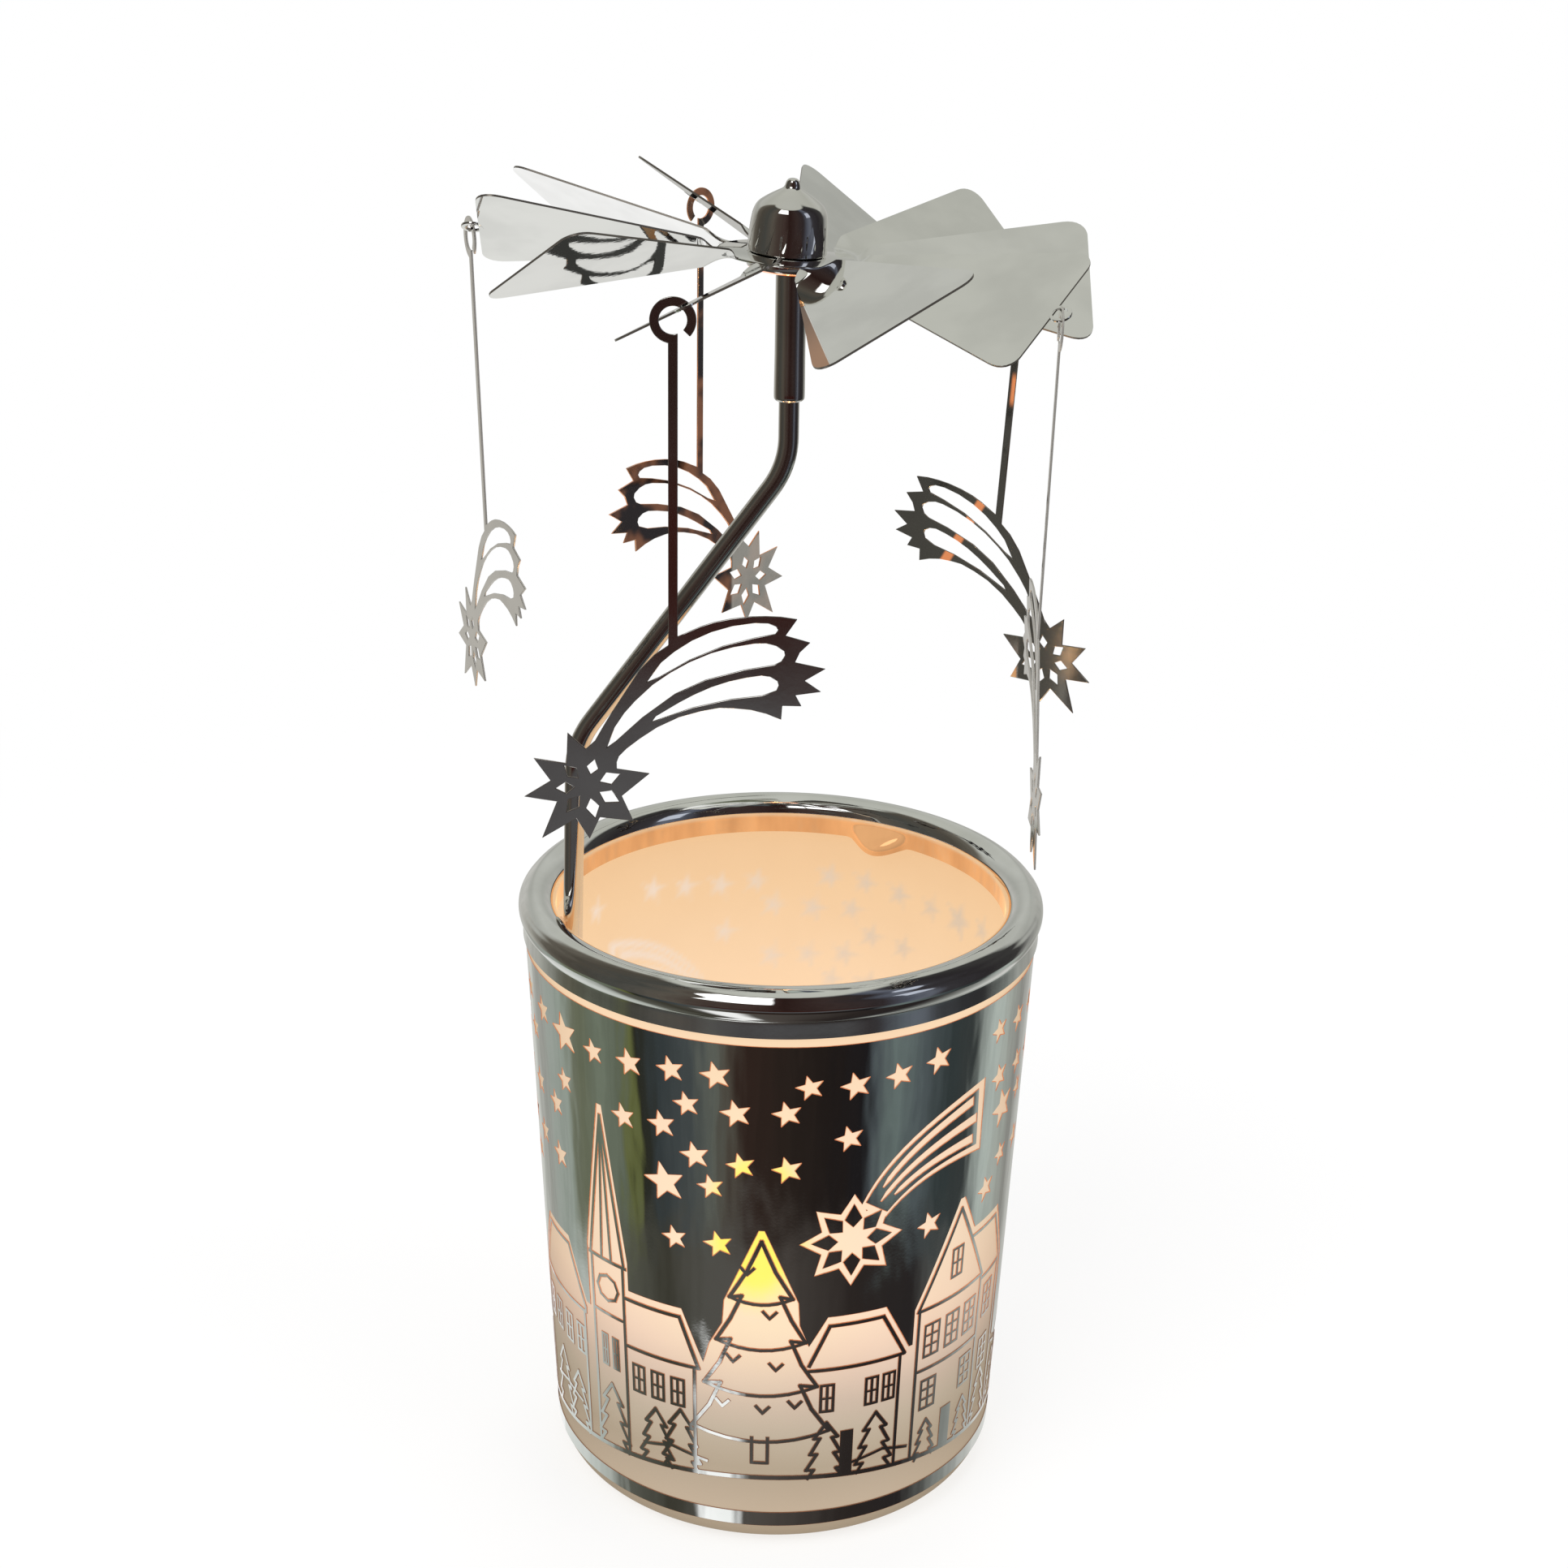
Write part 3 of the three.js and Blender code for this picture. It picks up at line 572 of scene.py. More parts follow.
def spline(points, per=6, keep=()):
    """Catmull-Rom through points; indices in keep stay corners."""
    knots = [Vector(p) for p in points]
    out = []
    last = len(knots) - 1
    for i in range(last):
        p1, p2 = knots[i], knots[i + 1]
        p0 = knots[i - 1] if i > 0 and i not in keep else p1 + (p1 - p2)
        p3 = knots[i + 2] if i + 1 < last and i + 1 not in keep else p2 + (p2 - p1)
        for k in range(per):
            t = k / per
            square = (2 * p0 - 5 * p1 + 4 * p2 - p3) * t * t
            cube = (-p0 + 3 * p1 - 3 * p2 + p3) * t * t * t
            out.append(tuple(0.5 * (2 * p1 + (p2 - p0) * t + square + cube)))
    out.append(tuple(points[-1]))
    return out


def curve(t, start, bend, end):
    """Quadratic Bezier, for numbers or vectors."""
    return start * (1 - t) ** 2 + bend * 2 * t * (1 - t) + end * t * t


def ease(t):
    """Smooth step from 0 to 1."""
    t = max(0.0, min(1.0, t))
    return t * t * (3 - 2 * t)


def outward(verts, faces):
    """The part with faces turned so that the closed body's volume is positive."""
    spots = np.array(verts, float)
    volume = 0.0
    for face in faces:
        for i in range(1, len(face) - 1):
            cross = np.cross(spots[face[i]], spots[face[i + 1]])
            volume += float(np.dot(spots[face[0]], cross))
    return verts, faces if volume > 0 else [tuple(reversed(face)) for face in faces]


def skin(verts, rows, loop=False, caps=False):
    """A part from rings of vertex indices; a ring of one is a tip."""
    faces = []
    for low, high in zip(rows, rows[1:] + rows[:1] if loop else rows[1:]):
        count = max(len(low), len(high))
        for k in range(count):
            j = (k + 1) % count
            if len(low) == 1:
                faces.append((low[0], high[j], high[k]))
            elif len(high) == 1:
                faces.append((low[k], low[j], high[0]))
            else:
                faces.append((low[k], low[j], high[j], high[k]))
    if caps:
        faces += [tuple(reversed(rows[0])), tuple(rows[-1])]
    return outward(verts, faces)


def lathe(profile, segments, loop=False, move=None):
    """Part turned from (radius, height); move(radius, height, angle) may shift a point."""
    verts, rows = [], []
    for r, z in profile:
        if r < 1e-6:
            rows.append([len(verts)])
            verts.append((0.0, 0.0, z))
            continue
        rows.append(range(len(verts), len(verts) + segments))
        for k in range(segments):
            angle = 2 * pi * k / segments
            radius, height = move(r, z, angle) if move else (r, z)
            verts.append((radius * cos(angle), radius * sin(angle), height))
    return skin(verts, rows, loop)


def join(parts):
    verts, faces = [], []
    for part_verts, part_faces in parts:
        base = len(verts)
        verts.extend(part_verts)
        faces.extend([tuple(i + base for i in face) for face in part_faces])
    return verts, faces


def shift(part, matrix):
    verts, faces = part
    return [tuple(matrix @ Vector(p)) for p in verts], faces


def raised(profile, height):
    return [(r, z + height) for r, z in profile]


def flat_fill(rings, edges=()):
    """Flat triangles of (points, level, solid) rings; the highest level on a spot decides."""
    verts, loops, pairs = [], [], []
    for points, _, _ in rings:
        after = list(points[1:]) + [points[0]]
        area = sum(p[0] * q[1] - q[0] * p[1] for p, q in zip(points, after))
        loops.append(list(range(len(verts), len(verts) + len(points))))
        verts.extend(Vector(p) for p in (points if area > 0 else reversed(points)))
    for a, b in edges:
        pairs.append((len(verts), len(verts) + 1))
        verts.extend((Vector(a), Vector(b)))
    spots, _, tris, _, _, origins = delaunay_2d_cdt(verts, pairs, loops, 0, 1e-5)
    kept = []
    for tri, sources in zip(tris, origins):
        top = max(sources, key=lambda s: rings[s][1], default=None)
        if top is None or not rings[top][2]:
            continue
        a, b, c = (spots[i] for i in tri)
        if abs((b - a).cross(c - a)) > 1e-7:
            kept.append(tuple(tri))
    used = sorted({i for tri in kept for i in tri})
    index = {i: k for k, i in enumerate(used)}
    return [tuple(spots[i]) for i in used], [tuple(index[i] for i in tri) for tri in kept]


def rims(tris):
    """Directed boundary edges of a triangle patch."""
    seen = set()
    for tri in tris:
        for i in range(3):
            seen.add((tri[i], tri[(i + 1) % 3]))
    return [(a, b) for a, b in seen if (b, a) not in seen]


# =============================================================== the film's pattern
# Drawn as (azimuth in degrees, height in mm); each half turn of the film carries it once.
MM_PER_DEG = 0.55  # of wall, near enough for line widths
FILM_HALF = 90.0 * MM_PER_DEG
FILM_TOP = 74.3
STAR_TURN = -3.5  # degrees
STAR_NOTCH = 0.45  # of the star's size

# Lower edge of the closed sky.
SKYLINE = [
    (-90, 20.0), (-84, 22.0), (-80.4, 20.8), (-80.4, 28.2), (-71.2, 38.2), (-58.4, 38.2),
    (-51.2, 30.2), (-49.8, 30.2), (-49.8, 39.6), (-43.8, 61.4), (-42.2, 61.4), (-36.2, 39.6),
    (-36.2, 35.6), (-21.8, 35.6), (-16.6, 28.2), (-15.2, 31.2), (-12.0, 34.6), (-11.6, 38.0),
    (-3.7, 48.6), (-2.3, 48.6), (5.6, 38.0), (6.0, 34.6), (8.2, 31.4), (12.4, 35.6), (26.8, 35.6),
    (33.8, 28.4), (34.8, 28.4), (34.8, 33.6), (47.2, 47.6), (48.8, 47.6), (54.0, 41.8),
    (66.2, 41.8), (72.8, 32.6), (72.8, 19.6), (76.4, 18.6), (83.0, 21.8), (90, 20.0),
]


def scaled(points):
    return [(x * MM_PER_DEG, z) for x, z in points]


def star(azimuth, height, size):
    """Five blunt points, in flat mm."""
    points = []
    for i in range(5):
        tip_at = radians(180 + STAR_TURN + 72 * i)
        notch_at = radians(180 + STAR_TURN + 72 * i + 36)
        tip = Vector((cos(tip_at), sin(tip_at))) * size
        notch = Vector((cos(notch_at), sin(notch_at))) * size * STAR_NOTCH
        side = Vector((-sin(tip_at), cos(tip_at)))
        blunt = 0.05 * size
        shoulder = tip * (1 - 0.07)
        end = tip * (1 - 0.015)
        points += [shoulder - side * blunt, end - side * blunt * 0.35]
        points += [end + side * blunt * 0.35, shoulder + side * blunt, notch]
    return [(azimuth * MM_PER_DEG + p.x, height + p.y) for p in points]


def pointed(outer, inner, turn=0.0, x=9.6, z=46.6, points=8):
    """A regular star about the comet's head, whose place is in mm."""
    out = []
    for i in range(2 * points):
        r = inner if i % 2 else outer
        angle = radians(turn + 180.0 * i / points)
        out.append(((x + r * cos(angle)) / MM_PER_DEG, z + r * sin(angle)))
    return out


# Middle line of the comet's tail: start, bend and end of x and of z, in mm.
TAIL_X = (11.5, 16.5, 29.0)
TAIL_Z = (49.0, 58.6, 58.8)


def ribbon(side, half, first, last, steps=12):
    """A tapered strip of the tail, offset to one side of its middle line."""
    left, right = [], []
    for i in range(steps + 1):
        t = first + (last - first) * i / steps
        x, z = curve(t, *TAIL_X), curve(t, *TAIL_Z)
        dx, dz = (2 * (1 - t) * (b - a) + 2 * t * (c - b) for a, b, c in (TAIL_X, TAIL_Z))
        length = hypot(dx, dz)
        across_x, across_z = -dz / length, dx / length
        spread = side * (0.55 + 2.5 * t)
        width = half * (0.35 + 0.65 * t)
        if i == 0 and half < 1:
            width *= 0.4
        for row, reach in ((left, spread + width), (right, spread - width)):
            row.append(((x + across_x * reach) / MM_PER_DEG, z + across_z * reach))
    return left + right[::-1]


# The comet in the sky, outermost layer first: (polygons, whether they are film).
COMET_LAYERS = (
    ([pointed(6.7, 4.3), ribbon(0, 5.2, 0.06, 1.0)], 0),
    ([pointed(5.2, 3.1), ribbon(0, 4.15, 0.10, 0.955)], 1),
    ([
        pointed(3.7, 1.9, turn=22.5), ribbon(0.98, 0.72, 0.22, 0.92),
        ribbon(0, 0.72, 0.14, 0.95), ribbon(-0.98, 0.72, 0.22, 0.92),
    ], 0),
)


def gap(spot, points):
    """Distance from a spot to a chain of points."""
    best = 99.0
    for a, b in zip(points, points[1:]):
        leg = b - a
        t = max(0.0, min(1.0, (spot - a).dot(leg) / max(leg.dot(leg), 1e-9)))
        best = min(best, (spot - a - leg * t).length)
    return best


def place_stars():
    """Loose rows of stars wherever the sky is free: (azimuth, height, size)."""
    edge = [Vector(p) for p in scaled(SKYLINE)]
    comet = [[Vector(p) for p in scaled(ring + ring[:1])] for ring in COMET_LAYERS[0][0]]
    out = []
    for row, level in enumerate((69.2, 65.6, 61.8, 58.0, 54.2, 50.4, 46.6)):
        for k in range(18):
            jitter = 1.5 * sin(12.9 * k + 4.1 * row)
            azimuth = -87.0 + 10.4 * k + (5.2 if row % 2 else 0.0) + jitter
            z = level + 0.7 * sin(7.3 * k + 2.7 * row + 1.0)
            size = (2.0, 2.9, 1.9, 1.8, 2.0)[(2 * k + row) % 5]
            if abs(azimuth) * MM_PER_DEG > FILM_HALF - size - 0.4 or z + size > 72.0:
                continue
            spot = Vector((azimuth * MM_PER_DEG, z))
            roof = float(np.interp(azimuth, *zip(*SKYLINE)))
            if z - roof < size + 1.2 or gap(spot, edge) < size + 0.9:
                continue
            blocked = False
            for ring in comet:
                room = gap(spot, ring)
                over = min(q.x for q in ring) < spot.x < max(q.x for q in ring)
                blocked = blocked or room < size + 0.7 or over and room < 5.0
            for x, other_z, other in out:
                apart = (Vector((x * MM_PER_DEG, other_z)) - spot).length
                blocked = blocked or apart < other + size + 0.5
            if not blocked:
                out.append((round(azimuth, 3), round(z, 3), size))
    return out


STARS = place_stars()


def ground(azimuth):
    """Height of the snow line."""
    return 9.6 + 1.6 * cos(radians(2 * azimuth))


DOORS = [
    [(16.6, 10.9), (16.6, 17.8), (19.8, 17.8), (19.8, 10.7)],
    [(46.2, 9.4), (46.2, 15.8), (50.0, 15.8), (50.0, 9.2)],
]
# Drawn lines: width in mm, then points.
LINES = [
    # house on the left
    (0.42, [(-79.2, 28.4), (-70.8, 36.9), (-58.8, 36.9), (-52.0, 29.2), (-52.0, 28.4)]),
    (0.42, [(-79.2, 28.4), (-52.0, 28.4)]),
    # chapel: spire, tower, nave
    (0.42, [(-48.6, 38.6), (-43.0, 59.8), (-37.4, 38.6)]),
    (0.38, [(-43.0, 59.6), (-44.6, 38.6)]),
    (0.38, [(-43.0, 59.6), (-41.4, 38.6)]),
    (0.46, [(-49.0, 38.6), (-37.0, 38.6)]),
    (0.40, [(-48.2, 30.4), (-37.8, 30.4)]),
    (0.50, [(-37.6, 34.2), (-22.4, 34.2), (-17.8, 27.0)]),
    (0.46, [(-37.6, 27.0), (-17.8, 27.0)]),
    # low house in the middle
    (0.48, [(8.4, 28.4), (13.0, 34.2), (26.2, 34.2), (32.6, 27.6)]),
    (0.48, [(8.4, 27.6), (32.6, 27.6)]),
    # tall house on the right
    (0.46, [(36.0, 33.0), (48.0, 46.0), (60.0, 33.0)]),
    (0.46, [(36.4, 33.0), (59.6, 33.0)]),
    (0.42, [(53.4, 40.4), (65.4, 40.4), (71.6, 32.2), (59.8, 32.2)]),
    (0.40, [(36.4, 23.6), (59.6, 23.6)]),
    # snow
    (0.62, [(x, ground(x)) for x in range(-90, 91, 6)]),
    (0.40, [(-72.0, 13.0), (-64.0, 13.9), (-56.0, 13.2)]),
    (0.40, [(-33.0, 12.9), (-25.0, 14.0), (-16.0, 12.9)]),
    (0.40, [(20.0, 12.6), (28.0, 13.5), (35.0, 12.5)]),
    # hills at both ends
    (0.42, [(72.6, 18.4), (76.4, 17.6), (83.0, 20.7), (90.0, 19.0)]),
    (0.42, [(-90.0, 19.0), (-84.0, 20.9), (-79.8, 19.6)]),
]
# House walls down to the snow: azimuth, top.
WALLS = [
    (-78.4, 28.4), (-52.6, 28.4), (-48.2, 38.6), (-37.8, 38.6), (-18.8, 27.0), (31.4, 27.6),
    (36.4, 33.0), (59.6, 33.0), (70.8, 32.2),
]
BIG_FIR = -3.0  # azimuth of the big fir; its tables hold offsets from there
FIR_SIDE = [
    (0, 47.0), (3.2, 42.6), (7.2, 38.6), (4.4, 38.9), (7.0, 35.4), (10.4, 32.0), (7.0, 32.3),
    (9.6, 28.6), (13.4, 25.2), (9.4, 25.5), (12.2, 21.8), (16.6, 18.2),
]
# Bowed hem of each tier: half width, height, sag.
FIR_HEMS = [(7.2, 38.6, 1.5), (10.4, 32.0, 1.9), (13.4, 25.2, 2.2), (16.6, 18.2, 2.4)]
FIR_TWIGS = [
    (-3.2, 42.6), (2.0, 36.2), (-6.4, 29.4), (3.6, 28.4), (-9.0, 22.4), (0.6, 21.8), (8.2, 22.6),
]
TRUNK_HALF = 1.9  # degrees
# Small firs: line width, then azimuth, top and scale of each.
SMALL_FIRS = [
    (0.45, [
        (-84.6, 16.8, 0.72), (-67.0, 18.4, 0.92), (-57.6, 17.4, 0.8), (-43.0, 19.6, 0.92),
        (-29.4, 18.9, 0.8), (-22.6, 19.9, 0.86), (13.0, 19.4, 0.8), (25.6, 19.6, 0.84),
    ]),
    (0.40, [
        (41.0, 15.4, 0.56), (55.4, 15.2, 0.56), (64.8, 16.8, 0.72), (76.2, 16.4, 0.7),
        (84.0, 16.0, 0.66),
    ]),
]
# Windows: left edges, width in degrees, bottom, top, line width, cross bars.
WINDOWS = [
    ((-76.0, -69.4, -62.8, -56.6), 3.4, 21.4, 25.6, 0.38, 1),
    ((-45.6, -42.0), 1.7, 22.4, 27.0, 0.34, 1),
    ((-35.6, -30.2, -24.8), 3.2, 20.6, 24.6, 0.36, 1),
    ((11.4, 22.6, 27.2), 3.0, 21.2, 25.2, 0.36, 1),
    ((38.6, 45.7, 52.8, 62.4), 4.6, 25.6, 30.4, 0.34, 2),
    ((38.6, 52.8, 62.4), 4.6, 17.4, 21.8, 0.34, 2),
    ((46.2,), 3.6, 36.0, 40.2, 0.34, 1),
]


def big_fir():
    lines = []
    for side in (-1, 1):
        lines.append((0.46, [(BIG_FIR + side * dx, z) for dx, z in FIR_SIDE]))
        lines.append((0.40, [(BIG_FIR + side * TRUNK_HALF, z) for z in (13.6, 17.4)]))
    for half, z, sag in FIR_HEMS:
        steps = [k / 4 for k in range(-4, 5)]
        lines.append((0.44, [(BIG_FIR + half * t, z - sag * (1 - t * t) * 0.6) for t in steps]))
    for dx, z in FIR_TWIGS:
        x = BIG_FIR + dx
        lines.append((0.40, [(x - 1.5, z + 0.5), (x, z - 0.5), (x + 1.5, z + 0.4)]))
    lines.append((0.40, [(BIG_FIR + TRUNK_HALF * side, 13.5) for side in (-1, 1)]))
    return lines


def round_window(azimuth=-43.0, z=34.4, radius=1.9):
    """Octagon on the tower."""
    corners = [radians(45 * k) for k in range(9)]
    return [(azimuth + radius / MM_PER_DEG * cos(a), z + radius * sin(a)) for a in corners]


def small_fir(width, azimuth, z, scale):
    """Zigzag sides of three tiers."""
    lines = []
    for side in (-1, 1):
        points = [(azimuth, z)]
        for k in range(3):
            drop = 3.05 * k
            points.append((azimuth + side * scale * (3.6 + 1.1 * k), z - scale * (2.9 + drop)))
            points.append((azimuth + side * scale * (1.9 + 0.8 * k), z - scale * (3.0 + drop)))
        points.append((azimuth + side * scale * (2.9 + 0.8 * 3), z - scale * (1.5 + 3.05 * 3)))
        lines.append((width, points))
    return lines


def window(left, right, low, high, width, bars):
    middle = (left + right) / 2
    frame_points = [(left, low), (left, high), (right, high), (right, low), (left, low)]
    lines = [(width, frame_points), (width, [(middle, low), (middle, high)])]
    for bar in range(1, bars + 1):
        z = low + (high - low) * bar / (bars + 1)
        lines.append((width * 0.8, [(left, z), (right, z)]))
    return lines


LINES += [(0.44, [(azimuth, top), (azimuth, ground(azimuth))]) for azimuth, top in WALLS]
LINES += big_fir()
LINES.append((0.38, round_window()))
for line_width, firs in SMALL_FIRS:
    for fir in firs:
        LINES += small_fir(line_width, *fir)
for edges, across, *sizes in WINDOWS:
    for edge in edges:
        LINES += window(edge, edge + across, *sizes)

# =============================================================== film
FOOT_RADIUS, FOOT_Z = 29.98, 5.3  # jar's outer wall at its foot
MOUTH_RADIUS = 33.0  # and at the film's top
WALL_LEAN = (MOUTH_RADIUS - FOOT_RADIUS) / (FILM_TOP - FOOT_Z)


def glass_radius(z):
    return FOOT_RADIUS + WALL_LEAN * (z - FOOT_Z)


def stroke(width, points):
    """Square-ended quads, one per leg."""
    out = []
    spots = [Vector(p) for p in scaled(points)]
    for a, b in zip(spots, spots[1:]):
        along = (b - a).normalized()
        side = Vector((-along.y, along.x)) * width / 2
        start, end = a - along * width * 0.42, b + along * width * 0.42
        out.append([start - side, end - side, end + side, start + side])
    return out


def clamp_to(x, z, low, high):
    return max(-FILM_HALF, min(FILM_HALF, x)), max(low, min(high, z))


def film_patch():
    """Flat triangles of the film; levels: sheet, stars and comet, then drawn lines."""
    rings = [(scaled([(-90, FILM_TOP)] + SKYLINE + [(90, FILM_TOP)]), 0, 1)]
    rings.append((scaled([(-90, 3.55), (90, 3.55), (90, 5.6), (-90, 5.6)]), 0, 1))
    rings += [(star(*s), 1, 0) for s in STARS]
    for level, (group, solid) in enumerate(COMET_LAYERS, 1):
        rings += [(scaled(ring), level, solid) for ring in group]
    rings += [(scaled(door), 4, 1) for door in DOORS]
    for width, points in LINES:
        for quad in stroke(width, points):
            rings.append(([Vector(clamp_to(p.x, p.y, 3.6, FILM_TOP)) for p in quad], 4, 1))
    # upright cuts every 2 degrees let the sheet follow the round wall
    columns = [azimuth * MM_PER_DEG for azimuth in range(-90, 91, 2)]
    return flat_fill(rings, [((x, 3.0), (x, 75.0)) for x in columns])


def make_film(look):
    flat, tris = film_patch()
    border = rims(tris)
    # the foot of the coating stands proud of its edge, so each cut has a slanting wall
    push = [Vector((0, 0)) for _ in flat]
    for a, b in border:
        if min(abs(flat[a][0]), abs(flat[b][0])) > FILM_HALF - 1e-4:
            continue
        along = (Vector(flat[b]) - Vector(flat[a])).normalized()
        for end in (a, b):
            push[end] += Vector((along.y, -along.x))
    foot = []
    for (x, z), way in zip(flat, push):
        if way.length > 1e-6:
            way = way.normalized() * 0.10
            x, z = clamp_to(x + way.x, z + way.y, 3.45, 74.35)
        foot.append((x, z))
    verts, faces, normals = [], [], []
    count = len(flat)
    for half in range(2):
        base = len(verts)
        for depth, sheet in ((0.14, flat), (0.07, foot)):
            for x, z in sheet:
                angle = radians(x / MM_PER_DEG - 90 + 180 * half)
                r = glass_radius(z) + depth
                verts.append((r * cos(angle), r * sin(angle), z))
                normals.append(Vector((cos(angle), sin(angle), -WALL_LEAN)).normalized())
        for a, b, c in tris:
            faces.append((base + a, base + b, base + c))
            faces.append((base + count + c, base + count + b, base + count + a))
        for a, b in border:
            faces.append((base + b, base + a, base + count + a, base + count + b))
    build(
        "mirror_film_pattern", (verts, faces), look, "jar", "mirror_film",
        "mirror_film_upper", "mirror_film_band", normals=normals, second=(cut_material(), is_quad),
    )


# =============================================================== jar
def star_ghost(dx, dz, size):
    """1 inside a star, softly 0 outside; offsets from its centre in mm."""
    r = np.hypot(dx, dz)
    angle = np.degrees(np.arctan2(dz, dx)) - (180 + STAR_TURN)
    angle = np.radians(((angle + 36) % 72) - 36)
    x, y = r * np.cos(angle), np.abs(r * np.sin(angle))
    # distance outside the slanted side from tip to notch
    tip = np.array([size, 0.0])
    notch = np.array([cos(radians(36)), sin(radians(36))]) * STAR_NOTCH * size
    side = (notch - tip) / np.linalg.norm(notch - tip)
    normal = np.array([-side[1], side[0]])
    if normal @ tip < 0:
        normal = -normal
    out = (x - tip[0]) * normal[0] + (y - tip[1]) * normal[1]
    out = np.where(r > size + 1.5, 9.0, out)
    return np.clip((0.35 - out) / 0.9, 0, 1)


def polygon_ghost(x, z, polygon):
    """1 inside a polygon, softly 0 outside."""
    inside = np.zeros(len(x), bool)
    gaps = np.full(len(x), 9.0)
    for (x1, z1), (x2, z2) in zip(polygon, np.roll(polygon, -1, axis=0)):
        with np.errstate(divide="ignore", invalid="ignore"):
            crossing = (x2 - x1) * (z - z1) / (z2 - z1) + x1
        inside ^= ((z1 > z) != (z2 > z)) & (x < crossing)
        dx, dz = x2 - x1, z2 - z1
        t = np.clip(((x - x1) * dx + (z - z1) * dz) / (dx * dx + dz * dz), 0, 1)
        gaps = np.minimum(gaps, np.hypot(x - x1 - t * dx, z - z1 - t * dz))
    return np.clip(0.5 + np.where(inside, gaps, -gaps) / 0.7, 0, 1)


def ghost_amount(azimuth, z):
    """How far points lie behind the stars and comet of the film, 0 to 1."""
    ghost = np.zeros_like(azimuth)
    for at, star_z, size in STARS:
        dx = ((azimuth - at + 180) % 360 - 180) * 0.56  # mm of wall per degree up here
        ghost = np.maximum(ghost, star_ghost(dx, z - star_z, size))
    x = ((azimuth + 180) % 360 - 180) * MM_PER_DEG
    for group, solid in COMET_LAYERS:
        for ring in group:
            polygon = np.array(scaled(ring))
            (low_x, low_z), (high_x, high_z) = polygon.min(axis=0) - 1.5, polygon.max(axis=0) + 1.5
            close = (x > low_x) & (x < high_x) & (z > low_z) & (z < high_z)
            if not close.any():
                continue
            amount = polygon_ghost(x[close], z[close], polygon)
            if solid:
                ghost[close] = ghost[close] * (1 - amount)
            else:
                ghost[close] = np.maximum(ghost[close], amount)
    return ghost


# Profiles are (radius, height) in mm.
JAR_BASE = [(0, 0.25), (20, 0.25), (24.6, 0.18), (25.6, 0.0)]
JAR_HEEL = [(25.9, 0.0), (27.4, 0.25), (28.7, 1.15), (29.45, 2.3), (glass_radius(3.4), 3.4)]
JAR_LIP = [
    (32.95, 74.8), (32.62, 75.9), (32.45, 78.0), (32.4, 79.3), (31.95, 80.4), (31.3, 80.7),
    (30.7, 80.35), (30.38, 79.2), (30.32, 77.6),
]
JAR_INNER_HEEL = [(27.45, 9.2), (26.9, 6.4), (25.4, 4.7), (23.6, 4.0)]
JAR_WALL = 2.6


def make_jar(look):
    profile = JAR_BASE + spline(JAR_HEEL, 5)
    profile += [(glass_radius(z), z) for z in (FOOT_Z, 10, 20, 30, 40, 50, 60, 70, FILM_TOP)]
    profile += spline(JAR_LIP, 3) + [(30.3, 76.4)]
    profile += [(glass_radius(z) - JAR_WALL, z) for z in np.linspace(75.6, 10.0, 112)]
    profile += spline(JAR_INNER_HEEL, 5) + [(18.0, 4.0), (9.0, 4.0), (0, 4.0)]
    part = lathe(profile, 288)
    jar = build("jar_frosted", part, look, "jar", "frosted_glass", "jar_glass", sharp=None)
    x, y, z = np.array(part[0]).T
    azimuth = np.degrees(np.arctan2(x, -y))
    is_inner = (np.hypot(x, y) < glass_radius(z) - JAR_WALL / 2) & (z > 8) & (z < 77)
    opposite = ((azimuth + 360) % 360) - 180
    ghost = np.maximum(ghost_amount(azimuth, z), ghost_amount(opposite, z))
    attribute = jar.data.attributes.new("ghost", "FLOAT", "POINT")
    attribute.data.foreach_set("value", np.where(is_inner, ghost, 0.0).astype(np.float32))


# =============================================================== candle
CANDLE_Z = 4.1  # its heights below count from here
CUP_OUTSIDE = [
    (0, 0.0), (12, 0.0), (18.2, 0.02), (18.75, 0.35), (19.0, 1.1), (19.12, 8.0), (19.25, 15.5),
    (19.42, 15.95), (19.36, 16.12), (19.14, 16.0), (18.95, 15.4),
]
CUP_INSIDE = [(18.72, 8.0), (18.62, 1.2), (18.1, 0.42), (17.6, 0.35), (0, 0.35)]
WAX = [
    (6.6, 0.62), (17.9, 0.62), (18.35, 1.6), (18.5, 11.0), (18.45, 12.55), (18.1, 12.62),
    (17.5, 12.35), (14.0, 12.2), (9.0, 12.05), (4.0, 11.95), (2.0, 12.0), (1.4, 12.15),
    (1.1, 12.1), (1.05, 6.0), (1.05, 4.6), (1.9, 4.3), (1.9, 1.7), (6.6, 1.5),
]
SUSTAINER = [
    (1.0, 0.62), (6.1, 0.62), (6.2, 0.75), (6.1, 0.92), (1.9, 1.0), (1.62, 1.25), (1.5, 3.8),
    (1.35, 3.9), (1.0, 3.9),
]


def flute(r, z, angle):
    """Forty shallow flutes round the cup, half as deep by its lip."""
    depth = 0.10 * cos(angle * 40) if r > 17.5 and z > CANDLE_Z + 1.0 else 0.0
    return r + depth * (0.5 if z > CANDLE_Z + 15 else 1.0), z


